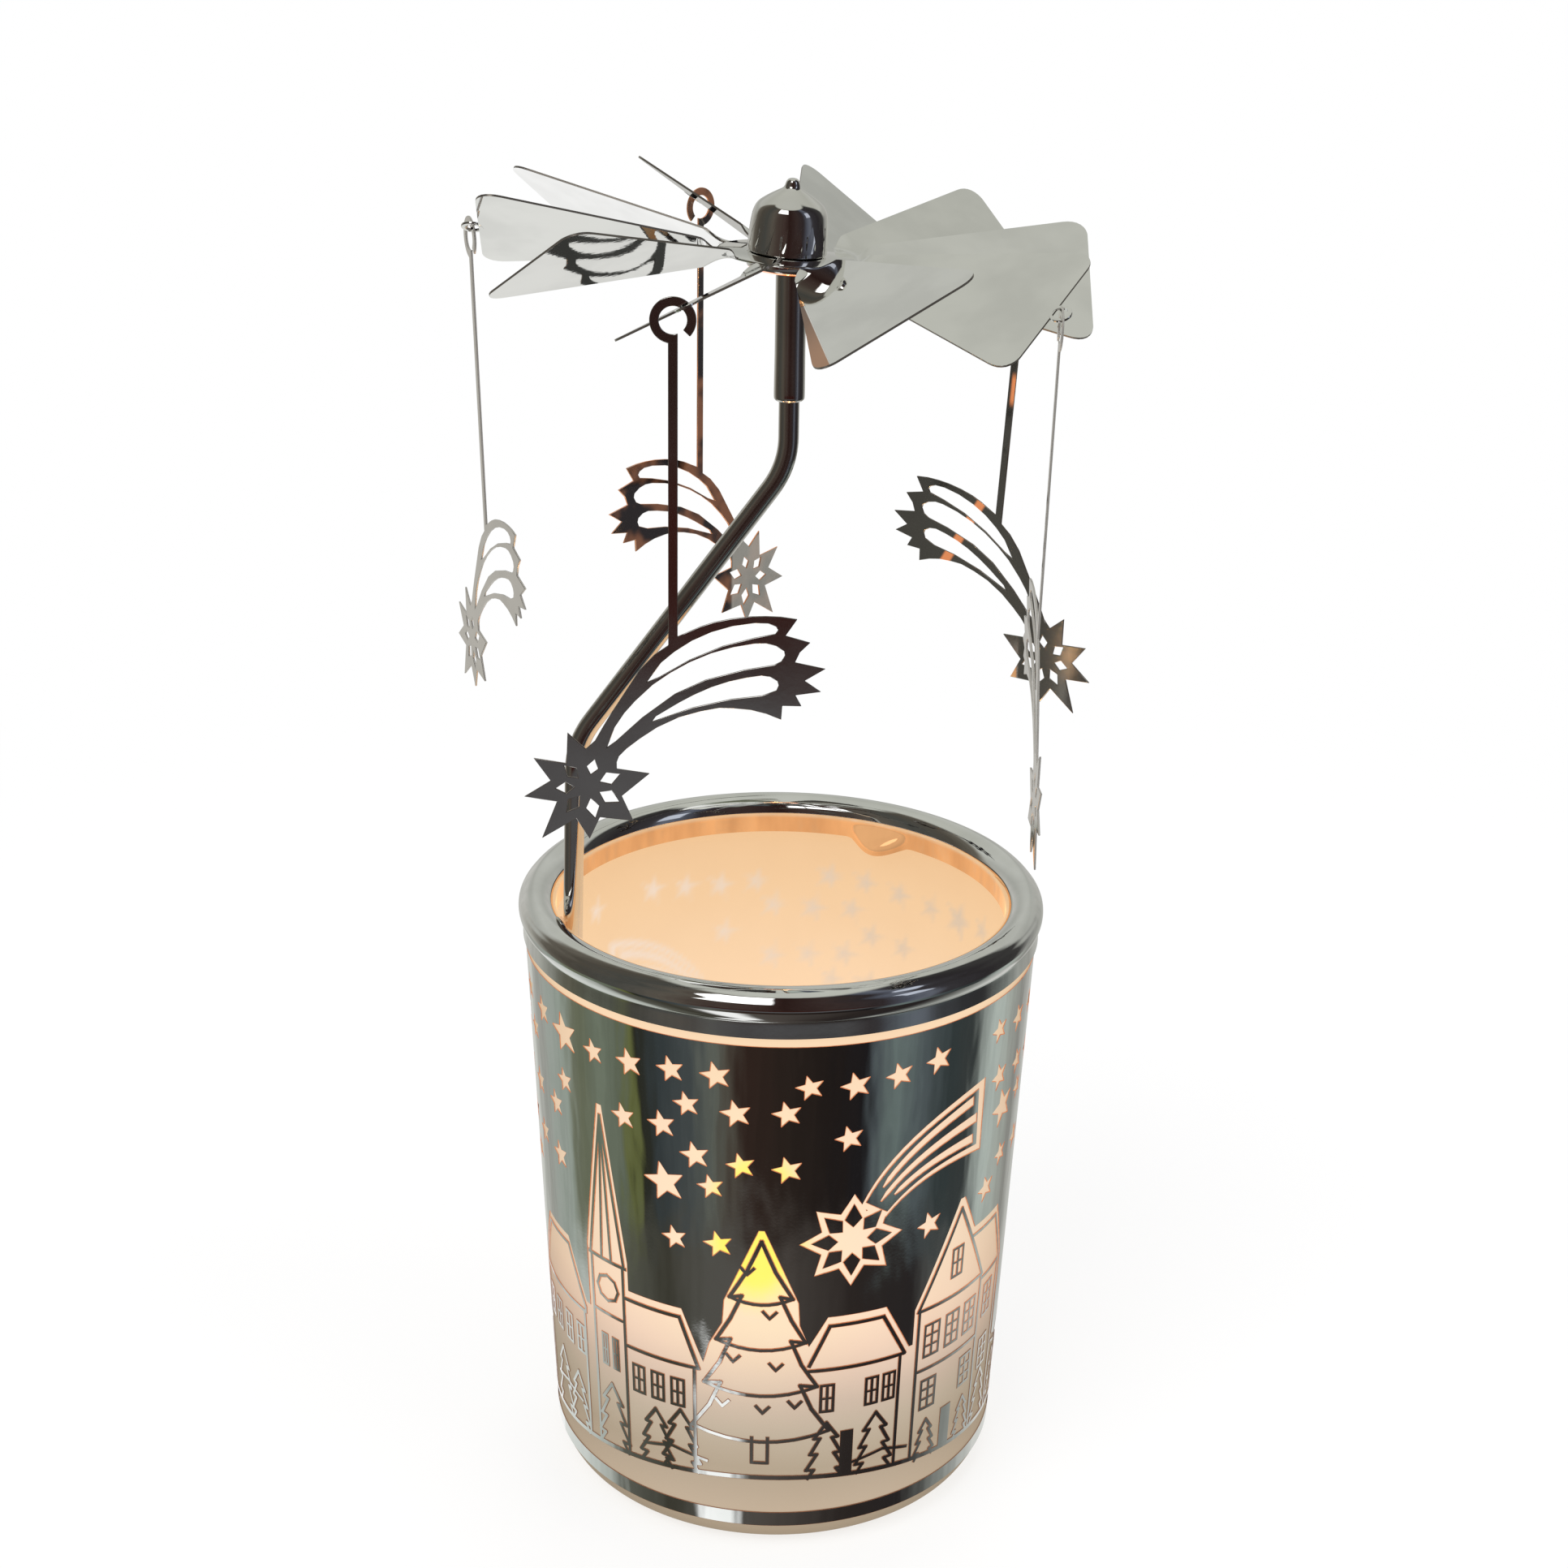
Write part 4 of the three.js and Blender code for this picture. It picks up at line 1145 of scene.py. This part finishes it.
def wick_part():
    """Three twisted lobes, bent over at the upper end."""
    verts, rows = [], []
    for i in range(41):
        t = i / 40
        z = 0.75 + 16.6 * t
        bend = max(0.0, (t - 0.72) / 0.28)
        radius = 0.62 * (1.0 if t < 0.9 else 1.0 - 0.5 * (t - 0.9) / 0.1)
        rows.append(range(len(verts), len(verts) + 18))
        for k in range(18):
            angle = 2 * pi * k / 18
            lobe = radius * (0.88 + 0.12 * cos(3 * angle + 3.0 * z))
            x = 0.55 * bend * bend * 0.4 + lobe * cos(angle)
            verts.append((x, lobe * sin(angle), CANDLE_Z + z - 0.35 * bend * bend))
    return skin(verts, rows, caps=True)


def make_candle():
    cup = spline(CUP_OUTSIDE, 4, keep=(2,)) + spline(CUP_INSIDE, 4, keep=(3,))
    part = lathe(raised(cup, CANDLE_Z), 96, move=flute)
    build("candle_cup", part, CUP, "candle", "candle_cup", "tealight_cup")
    part = lathe(raised(WAX, CANDLE_Z), 96, loop=True)
    build("candle_wax", part, wax_material(), "candle", "wax", "tealight_wax", sharp=50)
    part = lathe(raised(SUSTAINER, CANDLE_Z), 48, loop=True)
    build("wick_sustainer", part, CUP, "candle", "candle_cup", "wick_tab")
    build("wick_cord", wick_part(), wick_material(), "candle", "wick_cord", "wick", sharp=60)


# =============================================================== rim ring
ROD_ANGLE = radians(195)  # from +x, of the rod's foot and its weld pad
RING_INNER = 29.2
RING_OUTSIDE = [
    (33.50, 75.6), (33.46, 77.2), (33.45, 77.7), (33.62, 77.95), (33.86, 78.5), (33.98, 79.1),
    (33.94, 79.7), (33.76, 80.16), (33.48, 80.51), (33.2, 80.86), (32.6, 81.34), (31.9, 81.6),
    (31.0, 81.45), (30.2, 81.0), (29.62, 80.4), (29.3, 79.75),
] + [(RING_INNER, z) for z in (79.2, 78.7, 78.3, 77.8, 77.3, 76.75)]
RING_INSIDE = [
    (29.55, 76.75), (29.55, 77.4), (29.55, 78.0), (29.55, 78.6), (29.55, 79.2), (29.75, 79.95),
    (30.3, 80.6), (31.1, 81.02), (31.9, 81.15), (32.6, 80.98), (33.15, 80.5), (33.5, 79.8),
    (33.58, 79.2), (33.45, 78.55), (33.12, 78.1), (33.1, 77.4), (33.12, 75.62),
]
DIMPLES = (radians(62), radians(302))  # from +x
DIMPLE_HALF = 4.6


def press(r, z, angle):
    """Two dimples in the inner skirt, and an outer skirt that is not perfectly round."""
    if r < 29.7 and z < 79.4:
        for dimple in DIMPLES:
            aside = ((angle - dimple + pi) % (2 * pi) - pi) * RING_INNER
            depth = max(0.0, 1 - (aside / DIMPLE_HALF) ** 2) ** 1.3 * ease((79.0 - z) / 2.0)
            r -= 2.3 * depth
            z -= 1.25 * depth * max(0.0, min(1.0, (78.6 - z) / 1.8))
    if z < 78.0 and r > 32:
        r += 0.03 * sin(3 * angle + 0.7) + 0.02 * sin(7 * angle)
    return r, z


def weld_pad():
    """Rounded block by the rod's foot."""
    block = bmesh.new()
    bmesh.ops.create_cube(block, size=1.0)
    bmesh.ops.scale(block, vec=(0.9, 2.2, 2.3), verts=block.verts)
    bmesh.ops.bevel(
        block, geom=list(block.edges), offset=0.22, segments=3, affect="EDGES", profile=0.5
    )
    block.verts.ensure_lookup_table()
    verts = [tuple(v.co) for v in block.verts]
    faces = [tuple(v.index for v in face.verts) for face in block.faces]
    block.free()
    place = Matrix.Rotation(ROD_ANGLE, 4, "Z") @ Matrix.Translation((28.98, 0, 77.9))
    return shift((verts, faces), place)


def make_ring():
    profile = spline(RING_OUTSIDE, 5, keep=(2,)) + spline(RING_INSIDE, 4)
    part = join([lathe(profile, 256, loop=True, move=press), weld_pad()])
    build("rim_ring_pressed", part, CHROME, "lid", "bright_chrome", "rim_ring", sharp=40)


# =============================================================== rod, sleeve, needle
NEEDLE_TOP = 170.0
BEND_REACH = 3.6  # from a corner of the rod to where its bend starts
SLEEVE_LIP = [
    (1.42, 144.8), (1.6, 144.78), (1.78, 144.95), (1.87, 145.3), (1.87, 147.4), (1.86, 148.2),
    (1.85, 149.3), (1.84, 150.4),
]
SLEEVE_TOP = [(1.84, 153.0), (1.82, 162.7), (1.74, 163.25), (1.5, 163.52), (1.2, 163.58)]
SLEEVE_BORE = [(0.8, 163.5), (0.79, 152.7), (1.38, 152.1), (1.40, 146.0)]
NEEDLE_SHANK = [(0, 153.4), (0.55, 153.4), (0.62, 153.6), (0.62, 166.9)]
NEEDLE_TIP = [(0.62, 166.9), (0.5, 167.9), (0.28, 169.1), (0.1, 169.85), (0, NEEDLE_TOP)]


def sweep(path, radius, segments, rounding):
    """A round bar along a path, its end edges rounded."""
    last = len(path) - 1
    ways = [(path[min(last, i + 1)] - path[max(0, i - 1)]).normalized() for i in range(last + 1)]

    def end(point, way, inward, angles):
        for a in map(radians, angles):
            centre = point + inward * (rounding * (1 - cos(a)))
            yield centre, way, radius - rounding * (1 - sin(a))

    stations = list(end(path[0], ways[0], ways[0], (0, 30, 60, 90)))
    stations += [(path[i], ways[i], radius) for i in range(1, last)]
    stations += end(path[-1], ways[-1], -ways[-1], (90, 60, 30, 0))
    verts, rows = [], []
    side = Vector((0, 1, 0))
    for centre, way, r in stations:
        side = (side - way * side.dot(way)).normalized()
        across = way.cross(side)
        rows.append(range(len(verts), len(verts) + segments))
        for k in range(segments):
            a = 2 * pi * k / segments
            verts.append(tuple(centre + side * (r * cos(a)) + across * (r * sin(a))))
    return skin(verts, rows, caps=True)


def straight(path, end, steps):
    start = path[-1]
    path += [start + (end - start) * (i / steps) for i in range(1, steps + 1)]


def bend(path, corner, end, steps=12):
    start = path[-1]
    path += [curve(i / steps, start, corner, end) for i in range(1, steps + 1)]


def make_rod():
    foot = Vector((27.5 * cos(ROD_ANGLE), 27.5 * sin(ROD_ANGLE), 74.9))
    low = Vector((26.8 * cos(ROD_ANGLE), 26.8 * sin(ROD_ANGLE), 102.7))
    high = Vector((0, 0, 136.7))
    slant = (high - low).normalized()
    path = [foot]
    straight(path, low - (low - foot).normalized() * BEND_REACH, 14)
    bend(path, low, low + slant * BEND_REACH)
    straight(path, high - slant * BEND_REACH, 14)
    bend(path, high, high + Vector((0, 0, BEND_REACH)))
    straight(path, Vector((0, 0, 151.6)), 6)
    part = sweep(path, radius=1.25, segments=32, rounding=0.3)
    build("bent_rod", part, ROD, "lid", "polished_steel", "support_rod", sharp=50)
    part = lathe(spline(SLEEVE_LIP, 4) + spline(SLEEVE_TOP, 4) + SLEEVE_BORE, 64, loop=True)
    build("rod_sleeve_tube", part, ROD, "lid", "polished_steel", "rod_sleeve", sharp=40)
    part = lathe(NEEDLE_SHANK + spline(NEEDLE_TIP, 4)[1:], 32)
    build("needle_point", part, ROD, "lid", "polished_steel", "pivot_needle", sharp=45)


# =============================================================== rotor
BLADES, PITCH, PHASE = 10, radians(31.9), 1.75  # phase of the first blade in degrees from +x
SHEET_Z = -7.8  # of the sheet, from the needle's tip
LEAN = Vector((radians(1.18), radians(4.33), 0))  # the rotor hangs a little askew
ROTOR = Matrix.Translation((0, 0, NEEDLE_TOP)) @ Matrix.Rotation(LEAN.length, 4, LEAN.normalized())
SHEET = ROTOR @ Matrix.Translation((0, 0, SHEET_Z))
PLATE = 0.13  # half of the sheet's thickness
# Blade outline: half widths, and distances from the axis.
NECK_HALF, ROOT_HALF, TIP_HALF = 1.15, 2.7, 10.75
NECK_END, ROOT, TIP = 7.9, 10.2, 36.35
CORNER = 3.0  # radius of the tip's corners
FLANK = (TIP_HALF - ROOT_HALF) / (TIP - ROOT)
BLADE_STATIONS = [
    6.9, 7.4, 7.9, 8.3, 8.7, 9.1, 9.5, 9.9, 10.3, 10.8, 11.4, 12.5, 15, 18, 21, 24, 27, 30, 32,
    33.35,
] + [TIP - CORNER + CORNER * sin(radians(q)) for q in (12, 24, 36, 48, 60, 70, 78, 84, 88, 90)]
BLADE_STRIPS = 14
EAR_RADIUS = 37.1  # from the axis to the holes the comets hang in

ROOT_DISC = [
    (3.25, -0.19), (8.0, -0.19), (8.25, -0.1), (8.28, 0.0), (8.25, 0.1), (8.0, 0.19), (3.25, 0.19),
]
EAR = [(0.92, -0.15), (1.3, -0.15), (1.35, -0.08), (1.35, 0.08), (1.3, 0.15), (0.92, 0.15)]
THIMBLE_OUTSIDE = [
    (0, 8.6), (0.3, 8.57), (0.55, 8.47), (0.74, 8.27), (0.86, 7.98), (0.97, 7.64), (1.2, 7.36),
    (1.75, 7.05), (2.6, 6.55), (3.3, 6.08), (3.8, 5.68), (4.15, 5.22), (4.4, 4.6), (4.56, 3.7),
    (4.66, 2.6), (4.71, 1.4), (4.73, 0.9), (4.74, 0.5), (4.74, 0.12), (4.6, 0.0),
]
THIMBLE_INSIDE = [
    (4.32, 0.0), (4.28, 2.6), (4.05, 4.5), (3.5, 5.7), (2.3, 6.65), (1.0, 7.3), (0.4, 7.52),
    (0, 7.68),
]
COLLAR_TOP = [(3.22, -0.14), (4.56, -0.14), (4.68, -0.26), (4.69, -1.0)]
COLLAR_ROUND = [(4.69, -1.0), (4.58, -1.36), (4.2, -1.56), (3.6, -1.6)]
COLLAR_BORE = [(3.3, -1.55), (3.22, -1.4)]


def spoke(index):
    return Matrix.Rotation(radians(PHASE + 360 / BLADES * index), 4, "Z")


def painted_flank_reflection(net, place, tint, normal):
    """A painted brown reflection in a strip along the lower flank of blade 8, which faces the jar's
    mouth.
    """
    blade = SHEET @ spoke(8)
    turn = blade.to_3x3()
    axes = ((1, 0, 0), (0, cos(PITCH), sin(PITCH)), (0, -sin(PITCH), cos(PITCH)))
    out, across, above = (
        distance_along(net, place, blade.translation, turn @ Vector(axis)) for axis in axes
    )
    edge = across + ((ROOT_HALF - FLANK * ROOT) + out * FLANK)  # mm from the lower flank
    strip = net.smooth(edge - (out - 13.0) * 0.085, 0.06, -0.06)
    strip = strip * (net.smooth(out, 13.0, 13.4) * net.smooth(abs(above), 0.8, 0.6))
    strip = strip * net.smooth(edge, -1.2, -0.6)
    brown = net.mix(net.smooth(out, 16.0, 35.0), rgb(118, 92, 74), rgb(186, 140, 108))
    return net.mix(strip, tint, brown), normal, None, None


# rotor steel with a painted brown reflection on blade 8's flank
ROTOR_STEEL = metal(
    "rotor_steel", rgb(249, 249, 247), rough=0.018, wave=0.01, wear=0.3, local=painted_flank_reflection
)


def blade_half(out):
    """Half width of a blade at a distance from the axis."""
    if out < ROOT:
        return NECK_HALF + (ROOT_HALF - NECK_HALF) * ease((out - NECK_END) / (ROOT - NECK_END))
    side = ROOT_HALF + FLANK * (out - ROOT)
    if out > TIP - CORNER:
        t = (out - (TIP - CORNER)) / CORNER
        return side - (side - (TIP_HALF - CORNER)) * (1 - sqrt(max(0.0, 1 - t * t)))
    return side


def blade_part():
    """Closed thin plate along +x, twisting up to its pitch near the root."""
    verts, faces = [], []
    for out in BLADE_STATIONS:
        angle = PITCH * ease((out - 7.6) / 2.9)
        normal = Vector((0, -sin(angle), cos(angle)))
        for j in range(BLADE_STRIPS + 1):
            y = (2 * (j / BLADE_STRIPS) - 1) * blade_half(out)
            centre = Vector((out, y * cos(angle), y * sin(angle)))
            verts += [tuple(centre + normal * PLATE), tuple(centre - normal * PLATE)]

    def top(i, j):
        return 2 * (i * (BLADE_STRIPS + 1) + j)

    def low(i, j):
        return top(i, j) + 1

    end = len(BLADE_STATIONS) - 1
    side = BLADE_STRIPS
    for i in range(end):
        for j in range(side):
            faces.append((top(i, j), top(i + 1, j), top(i + 1, j + 1), top(i, j + 1)))
            faces.append((low(i, j), low(i, j + 1), low(i + 1, j + 1), low(i + 1, j)))
    for i in range(end):
        faces.append((top(i, 0), low(i, 0), low(i + 1, 0), top(i + 1, 0)))
        faces.append((top(i, side), top(i + 1, side), low(i + 1, side), low(i, side)))
    for j in range(side):
        faces.append((top(0, j), top(0, j + 1), low(0, j + 1), low(0, j)))
        faces.append((top(end, j), low(end, j), low(end, j + 1), top(end, j + 1)))
    return outward(verts, faces)


def make_rotor():
    parts = [shift(blade_part(), spoke(i)) for i in range(BLADES)]
    parts.append(lathe(ROOT_DISC, 120, loop=True))
    seat = Matrix.Rotation(PITCH, 4, "X") @ Matrix.Translation((EAR_RADIUS, 0, 0))
    for blade, *_ in COMETS:
        parts.append(shift(lathe(EAR, 32, loop=True), spoke(blade) @ seat))
    sheet = shift(join(parts), SHEET)

    def is_narrow(polygon):
        """Quads with two opposite sides as long as the sheet is thick."""
        spots = [Vector(sheet[0][i]) for i in polygon.vertices]
        sides = [(spots[k] - spots[k - 1]).length for k in range(len(spots))]
        thin = [abs(side - 2 * PLATE) < 0.002 for side in sides]
        return len(thin) == 4 and ((thin[0] and thin[2]) or (thin[1] and thin[3]))

    made = build(
        "rotor_sheet", sheet, ROTOR_STEEL, "rotor", "bright_chrome", "rotor_blades",
        sharp=32, second=(EDGE_DARK, is_narrow),
    )
    soften_edges(made, 0.00005)
    thimble = spline(THIMBLE_OUTSIDE, 4, keep=(18,)) + spline(THIMBLE_INSIDE, 4)
    part = shift(lathe(raised(thimble, SHEET_Z + 0.32), 96), ROTOR)
    build("hub_thimble", part, HUB, "rotor", "bright_chrome", "hub_cap", sharp=45)
    collar = COLLAR_TOP + spline(COLLAR_ROUND, 3)[1:] + COLLAR_BORE
    part = shift(lathe(raised(collar, SHEET_Z - 0.2), 72, loop=True), ROTOR)
    build("hub_clamp_collar", part, COLLAR, "rotor", "bright_chrome", "hub_collar", sharp=40)


# =============================================================== comets
# Flat in x and z, mm from the middle of the hanging ring.
OUTLINE = [
    (0.52, -34.9), (1.85, -34.3), (3.05, -33.75), (4.5, -33.25), (6.4, -32.85), (8.5, -32.6),
    (10.2, -32.55), (11.9, -32.62), (13.72, -32.9), (12.45, -34.8), (15.2, -35.6), (14.05, -36.75),
    (13.55, -37.9), (16.95, -38.65), (14.65, -40.05), (16.5, -41.35), (13.65, -41.75),
    (14.35, -43.05), (12.2, -43.0), (12.1, -44.65), (10.4, -43.95), (8.7, -43.5), (6.75, -43.3),
    (5.15, -43.25), (3.1, -43.65), (0.7, -44.35), (-1.75, -45.55), (-3.7, -46.9), (-5.2, -48.1),
    (-6.05, -49.0), (-6.3, -49.7), (-6.3, -50.5), (-2.62, -51.07), (-5.77, -53.78),
    (-4.47, -56.8), (-8.26, -56.36), (-9.45, -59.0), (-10.95, -56.5), (-14.85, -58.9),
    (-13.1, -54.47), (-16.75, -53.84), (-13.76, -51.93), (-15.61, -49.21), (-11.95, -49.83),
    (-11.78, -46.18), (-9.75, -48.1), (-8.73, -47.15), (-7.86, -45.57), (-6.88, -43.87),
    (-5.17, -41.13), (-3.71, -38.8), (-2.02, -36.98), (-0.52, -35.93),
]
SLOTS = [
    [
        (-2.86, -40.2), (-1.3, -37.95), (0.15, -36.7), (2.1, -35.4), (4.25, -34.4), (6.6, -33.7),
        (9.0, -33.35), (10.5, -33.4), (11.35, -33.75), (11.6, -34.15), (11.3, -34.6),
        (9.0, -35.05), (5.5, -36.0), (1.85, -37.6), (-1.5, -39.6),
    ],
    [
        (-7.35, -47.9), (-6.5, -45.55), (-5.4, -43.85), (-4.2, -42.45), (-2.25, -40.55),
        (-0.3, -39.15), (1.85, -37.9), (4.25, -36.85), (6.65, -36.15), (9.05, -35.72),
        (10.3, -35.7), (11.4, -36.0), (12.3, -36.6), (12.4, -37.1), (12.0, -37.8), (11.2, -38.2),
        (8.0, -38.75), (3.6, -39.95), (0.2, -41.6), (-3.45, -44.4), (-6.4, -47.2),
    ],
    [
        (-2.3, -44.85), (-1.9, -44.25), (0.65, -42.65), (2.35, -41.7), (4.3, -40.8),
        (6.2, -40.15), (8.15, -39.7), (9.8, -39.45), (10.8, -39.6), (11.6, -40.1),
        (11.75, -40.6), (11.5, -41.2), (9.9, -41.8), (6.5, -42.2), (2.2, -43.2),
    ],
]
STAR_CENTRE = Vector((-9.6, -52.6))
KITE_START = 1.5
# Kite-shaped holes round the star's centre: direction in degrees, far end, half width.
KITES = [
    (22, 3.9, 0.75), (-28, 4.0, 0.8), (-78, 3.9, 0.75), (-128, 3.9, 0.75), (-176, 3.6, 0.7),
    (136, 3.6, 0.7), (76, 3.3, 0.65),
]
STEM_HALF = 0.52
RING_OUT, RING_IN = 2.5, 1.5  # radii of the hanging ring
RING_GAP = -52 - 360 + 8  # degrees, where the open ring ends
COMET_DROP = 1.414  # from the ear's hole to the ring's middle, aside and down
COMET_HALF = 0.12  # half of the sheet's thickness
# Comets: blade, turn of the face, lean and its direction in degrees, edge material.
COMETS = (
    (5, 20.3, 1.5, 1.75, EDGE),
    (3, 27, 0, 0, EDGE_WARM),
    (7, 19, 0, 0, EDGE_DARK),
    (1, 14, 5.5, 118, EDGE_DARK),
    (9, 34, 1.2, 145.75, EDGE),
)


def arc(radius, start, end, steps):
    angles = [radians(start + (end - start) * i / steps) for i in range(steps + 1)]
    return [(radius * cos(a), radius * sin(a)) for a in angles]


def kite(direction, far, half):
    angle = radians(direction)
    along = Vector((cos(angle), sin(angle)))
    side = Vector((-along.y, along.x)) * half
    middle = STAR_CENTRE + along * (KITE_START * 0.55 + far * 0.45)
    return [STAR_CENTRE + along * KITE_START, middle + side, STAR_CENTRE + along * far, middle - side]


def comet_part():
    outline = OUTLINE + arc(RING_OUT, -90 - degrees(asin(STEM_HALF / RING_OUT)), RING_GAP, 44)
    outline += arc(RING_IN, RING_GAP, degrees(asin(STEM_HALF / RING_IN)) - 90, 34)
    rings = [(outline, 0, 1)]
    rings += [(slot, 1, 0) for slot in SLOTS]
    rings += [(kite(*row), 1, 0) for row in KITES]
    flat, tris = flat_fill(rings)
    verts = [(x, y, z) for y in (-COMET_HALF, COMET_HALF) for x, z in flat]
    faces = []
    count = len(flat)
    for a, b, c in tris:
        faces += [(a, b, c), (count + c, count + b, count + a)]
    faces += [(b, a, count + a, count + b) for a, b in rims(tris)]
    return outward(verts, faces)


def comet_look(number, matrix):
    """All comets get a painted dark tint where seen in reflections; 2 and 4 have shading normals
    tilted in the star, as if sprung, and painted warm glints.
    """
    turn = matrix.to_3x3()

    def look(net, place, tint, normal):
        glossy = net.add("LightPath")["Is Glossy Ray"]
        # painted dark tint where the comet is seen in reflections
        tint = net.mix(glossy * 0.9, tint, grey(0.10))
        if number not in (2, 4):
            return tint, normal, None, None
        x, z = (
            distance_along(net, place, matrix.translation, turn @ Vector(axis))
            for axis in ((1, 0, 0), (0, 0, 1))
        )
        in_star = net.smooth(z, -45.2, -47.4) * net.smooth(x, -5.0, -7.0)
        if number == 4:
            # painted warm reflections: a slanting streak on the comet and an upright one on the stem
            push = net.vmath("SCALE", (0.0, 0.0, 1.0), scale=in_star * 0.2)
            line = x - (z + 28.2) * -0.517
            streak = net.smooth(abs(line), 1.0, 0.5) * net.smooth(z, -31.5, -32.5)
            stem = net.smooth(abs(z + 17.5), 2.6, 1.2) * net.smooth(x, 0.25, -0.15)
            glow = rgb(236, 138, 76)
            strength = net.math("MAXIMUM", streak, stem) * 0.8
        else:
            push = net.vmath("SCALE", (0.24, 0.30, 0.0), scale=in_star)
            # painted warm glints in patches, fainter in the star
            patch = net.smooth(net.noise(place, scale=210.0), 0.42, 0.62)
            glow = rgb(178, 116, 78)
            strength = patch * net.smooth(in_star, 0.0, 1.0, to=(0.34, 0.12))
        normal = net.vmath("NORMALIZE", net.vmath("ADD", normal, push))
        return tint, normal, glow, strength * (1.0 - glossy)

    return look


def make_comets():
    flat = comet_part()
    for number, (blade, turn, tilt, towards, edge) in enumerate(COMETS, 1):
        azimuth = PHASE + 360 / BLADES * blade
        at = radians(azimuth)
        hole = ROTOR @ Vector((EAR_RADIUS * cos(at), EAR_RADIUS * sin(at), SHEET_Z))
        face = radians(azimuth + 90 + turn)
        axis = Vector((sin(radians(towards)), -cos(radians(towards)), 0))
        lean = Matrix.Rotation(radians(tilt), 4, axis)
        drop = Vector((-COMET_DROP * cos(face), -COMET_DROP * sin(face), -COMET_DROP))
        matrix = Matrix.Translation(hole + lean @ drop) @ lean @ Matrix.Rotation(face, 4, "Z")
        steel = metal(
            f"charm_steel_{number}", rgb(240, 236, 231), rough=0.09, wave=0.03,
            local=comet_look(number, matrix),
        )
        made = build(
            f"hanging_comet_{number}", shift(flat, matrix), steel, f"charm_{number}",
            "polished_steel", f"comet_charm_{number}", sharp=30, second=(edge, is_quad),
        )
        soften_edges(made, 0.00006)


# =============================================================== assembly
flame = bpy.data.objects.new("flame_centre", None)
flame.location = (-0.0026, 0.0, 0.0300)
scene.collection.objects.link(flame)
flame.parent = frame["bodies"]["candle"]

make_jar(glass_material(flame))
make_film(film_material())
make_candle()
make_ring()
make_rod()
make_rotor()
make_comets()


# =============================================================== floor, light, camera (metres)
def floor_material():
    """Pale and softly lit, fading to white; glossy rays see the room instead."""
    made, net = material("pale_floor")

    def emission(colour, strength):
        return net.add("Emission", {"Color": colour, "Strength": strength})[0]

    def diffuse(level):
        return net.add("BsdfDiffuse", {"Color": grey(level)})[0]

    geometry = net.add("NewGeometry")
    path = net.add("LightPath")
    dimmed = net.mix_shader(0.55, diffuse(0.86), diffuse(0.0))
    pale = net.add("AddShader", {0: dimmed, 1: emission(grey(1.0), strength=SOFT_LIGHT)})[0]
    view = net.vmath("SCALE", geometry["Incoming"], scale=-1.0)
    room = net.add("Group", {"Direction": view}, node_tree=ROOM)
    mirrored = emission(room[0], strength=1.0)
    x, y, _ = net.xyz(geometry["Position"])
    fade = path["Is Camera Ray"] * net.smooth(net.radius(x, y), 0.06, 0.34, to=(0.25, 1.0))
    pale = net.mix_shader(fade, pale, emission(grey(1.0), strength=1.0))
    net.finish(net.mix_shader(path["Is Glossy Ray"], pale, mirrored))
    return made


def make_floor(half=6.0, z=-0.0002):
    mesh = bpy.data.meshes.new("floor")
    corners = [(-half, -half, z), (half, -half, z), (half, half, z), (-half, half, z)]
    mesh.from_pydata(corners, [], [(0, 1, 2, 3)])
    floor = bpy.data.objects.new("floor", mesh)
    scene.collection.objects.link(floor)
    mesh.materials.append(floor_material())


def make_area_light(name, location, power):
    """Square light aimed at the jar's mouth."""
    light = bpy.data.lights.new(name, "AREA")
    light.shape = "SQUARE"
    light.size = 0.8
    light.energy = power
    lamp = bpy.data.objects.new(name, light)
    lamp.location = location
    aim = Vector((0, 0, 0.08)) - Vector(location)
    lamp.rotation_euler = aim.to_track_quat("-Z", "Y").to_euler()
    lamp.visible_glossy = False
    scene.collection.objects.link(lamp)


def make_flame_light():
    light = bpy.data.lights.new("flame_light", "POINT")
    light.energy = 0.03
    light.color = (1.0, 0.55, 0.22)
    light.shadow_soft_size = 0.004
    lamp = bpy.data.objects.new("flame_light", light)
    lamp.location = (0, 0, 0.036)
    scene.collection.objects.link(lamp)
    lamp.parent = frame["bodies"]["candle"]


def make_camera(location, pitch, roll):
    """Looks towards +y, pitch radians down, rolled about its line of sight."""
    lens = bpy.data.cameras.new("camera")
    lens.sensor_width = 36.0
    lens.lens = 57.82
    lens.clip_start = 0.01
    lens.clip_end = 50.0
    camera = bpy.data.objects.new("camera", lens)
    scene.collection.objects.link(camera)
    back = Vector((0, -cos(pitch), sin(pitch)))
    right = Vector((1, 0, 0))
    up = right.cross(-back)
    rolled_right = right * cos(roll) + up * sin(roll)
    rolled_up = right * -sin(roll) + up * cos(roll)
    rotation = Matrix((rolled_right, rolled_up, back)).transposed().to_4x4()
    camera.matrix_world = Matrix.Translation(location) @ rotation
    scene.camera = camera


make_floor()
make_area_light("key", (-0.5, -0.7, 1.1), power=7.0)
make_area_light("fill", (0.9, -0.4, 0.7), power=3.0)
make_area_light("back", (0.2, 0.9, 0.9), power=3.0)
make_flame_light()
make_camera((0.000141, -0.300716, 0.210423), pitch=0.36618, roll=0.01657)
scene.view_settings.view_transform = "Standard"
scene.view_settings.look = "None"
scene.render.film_transparent = False
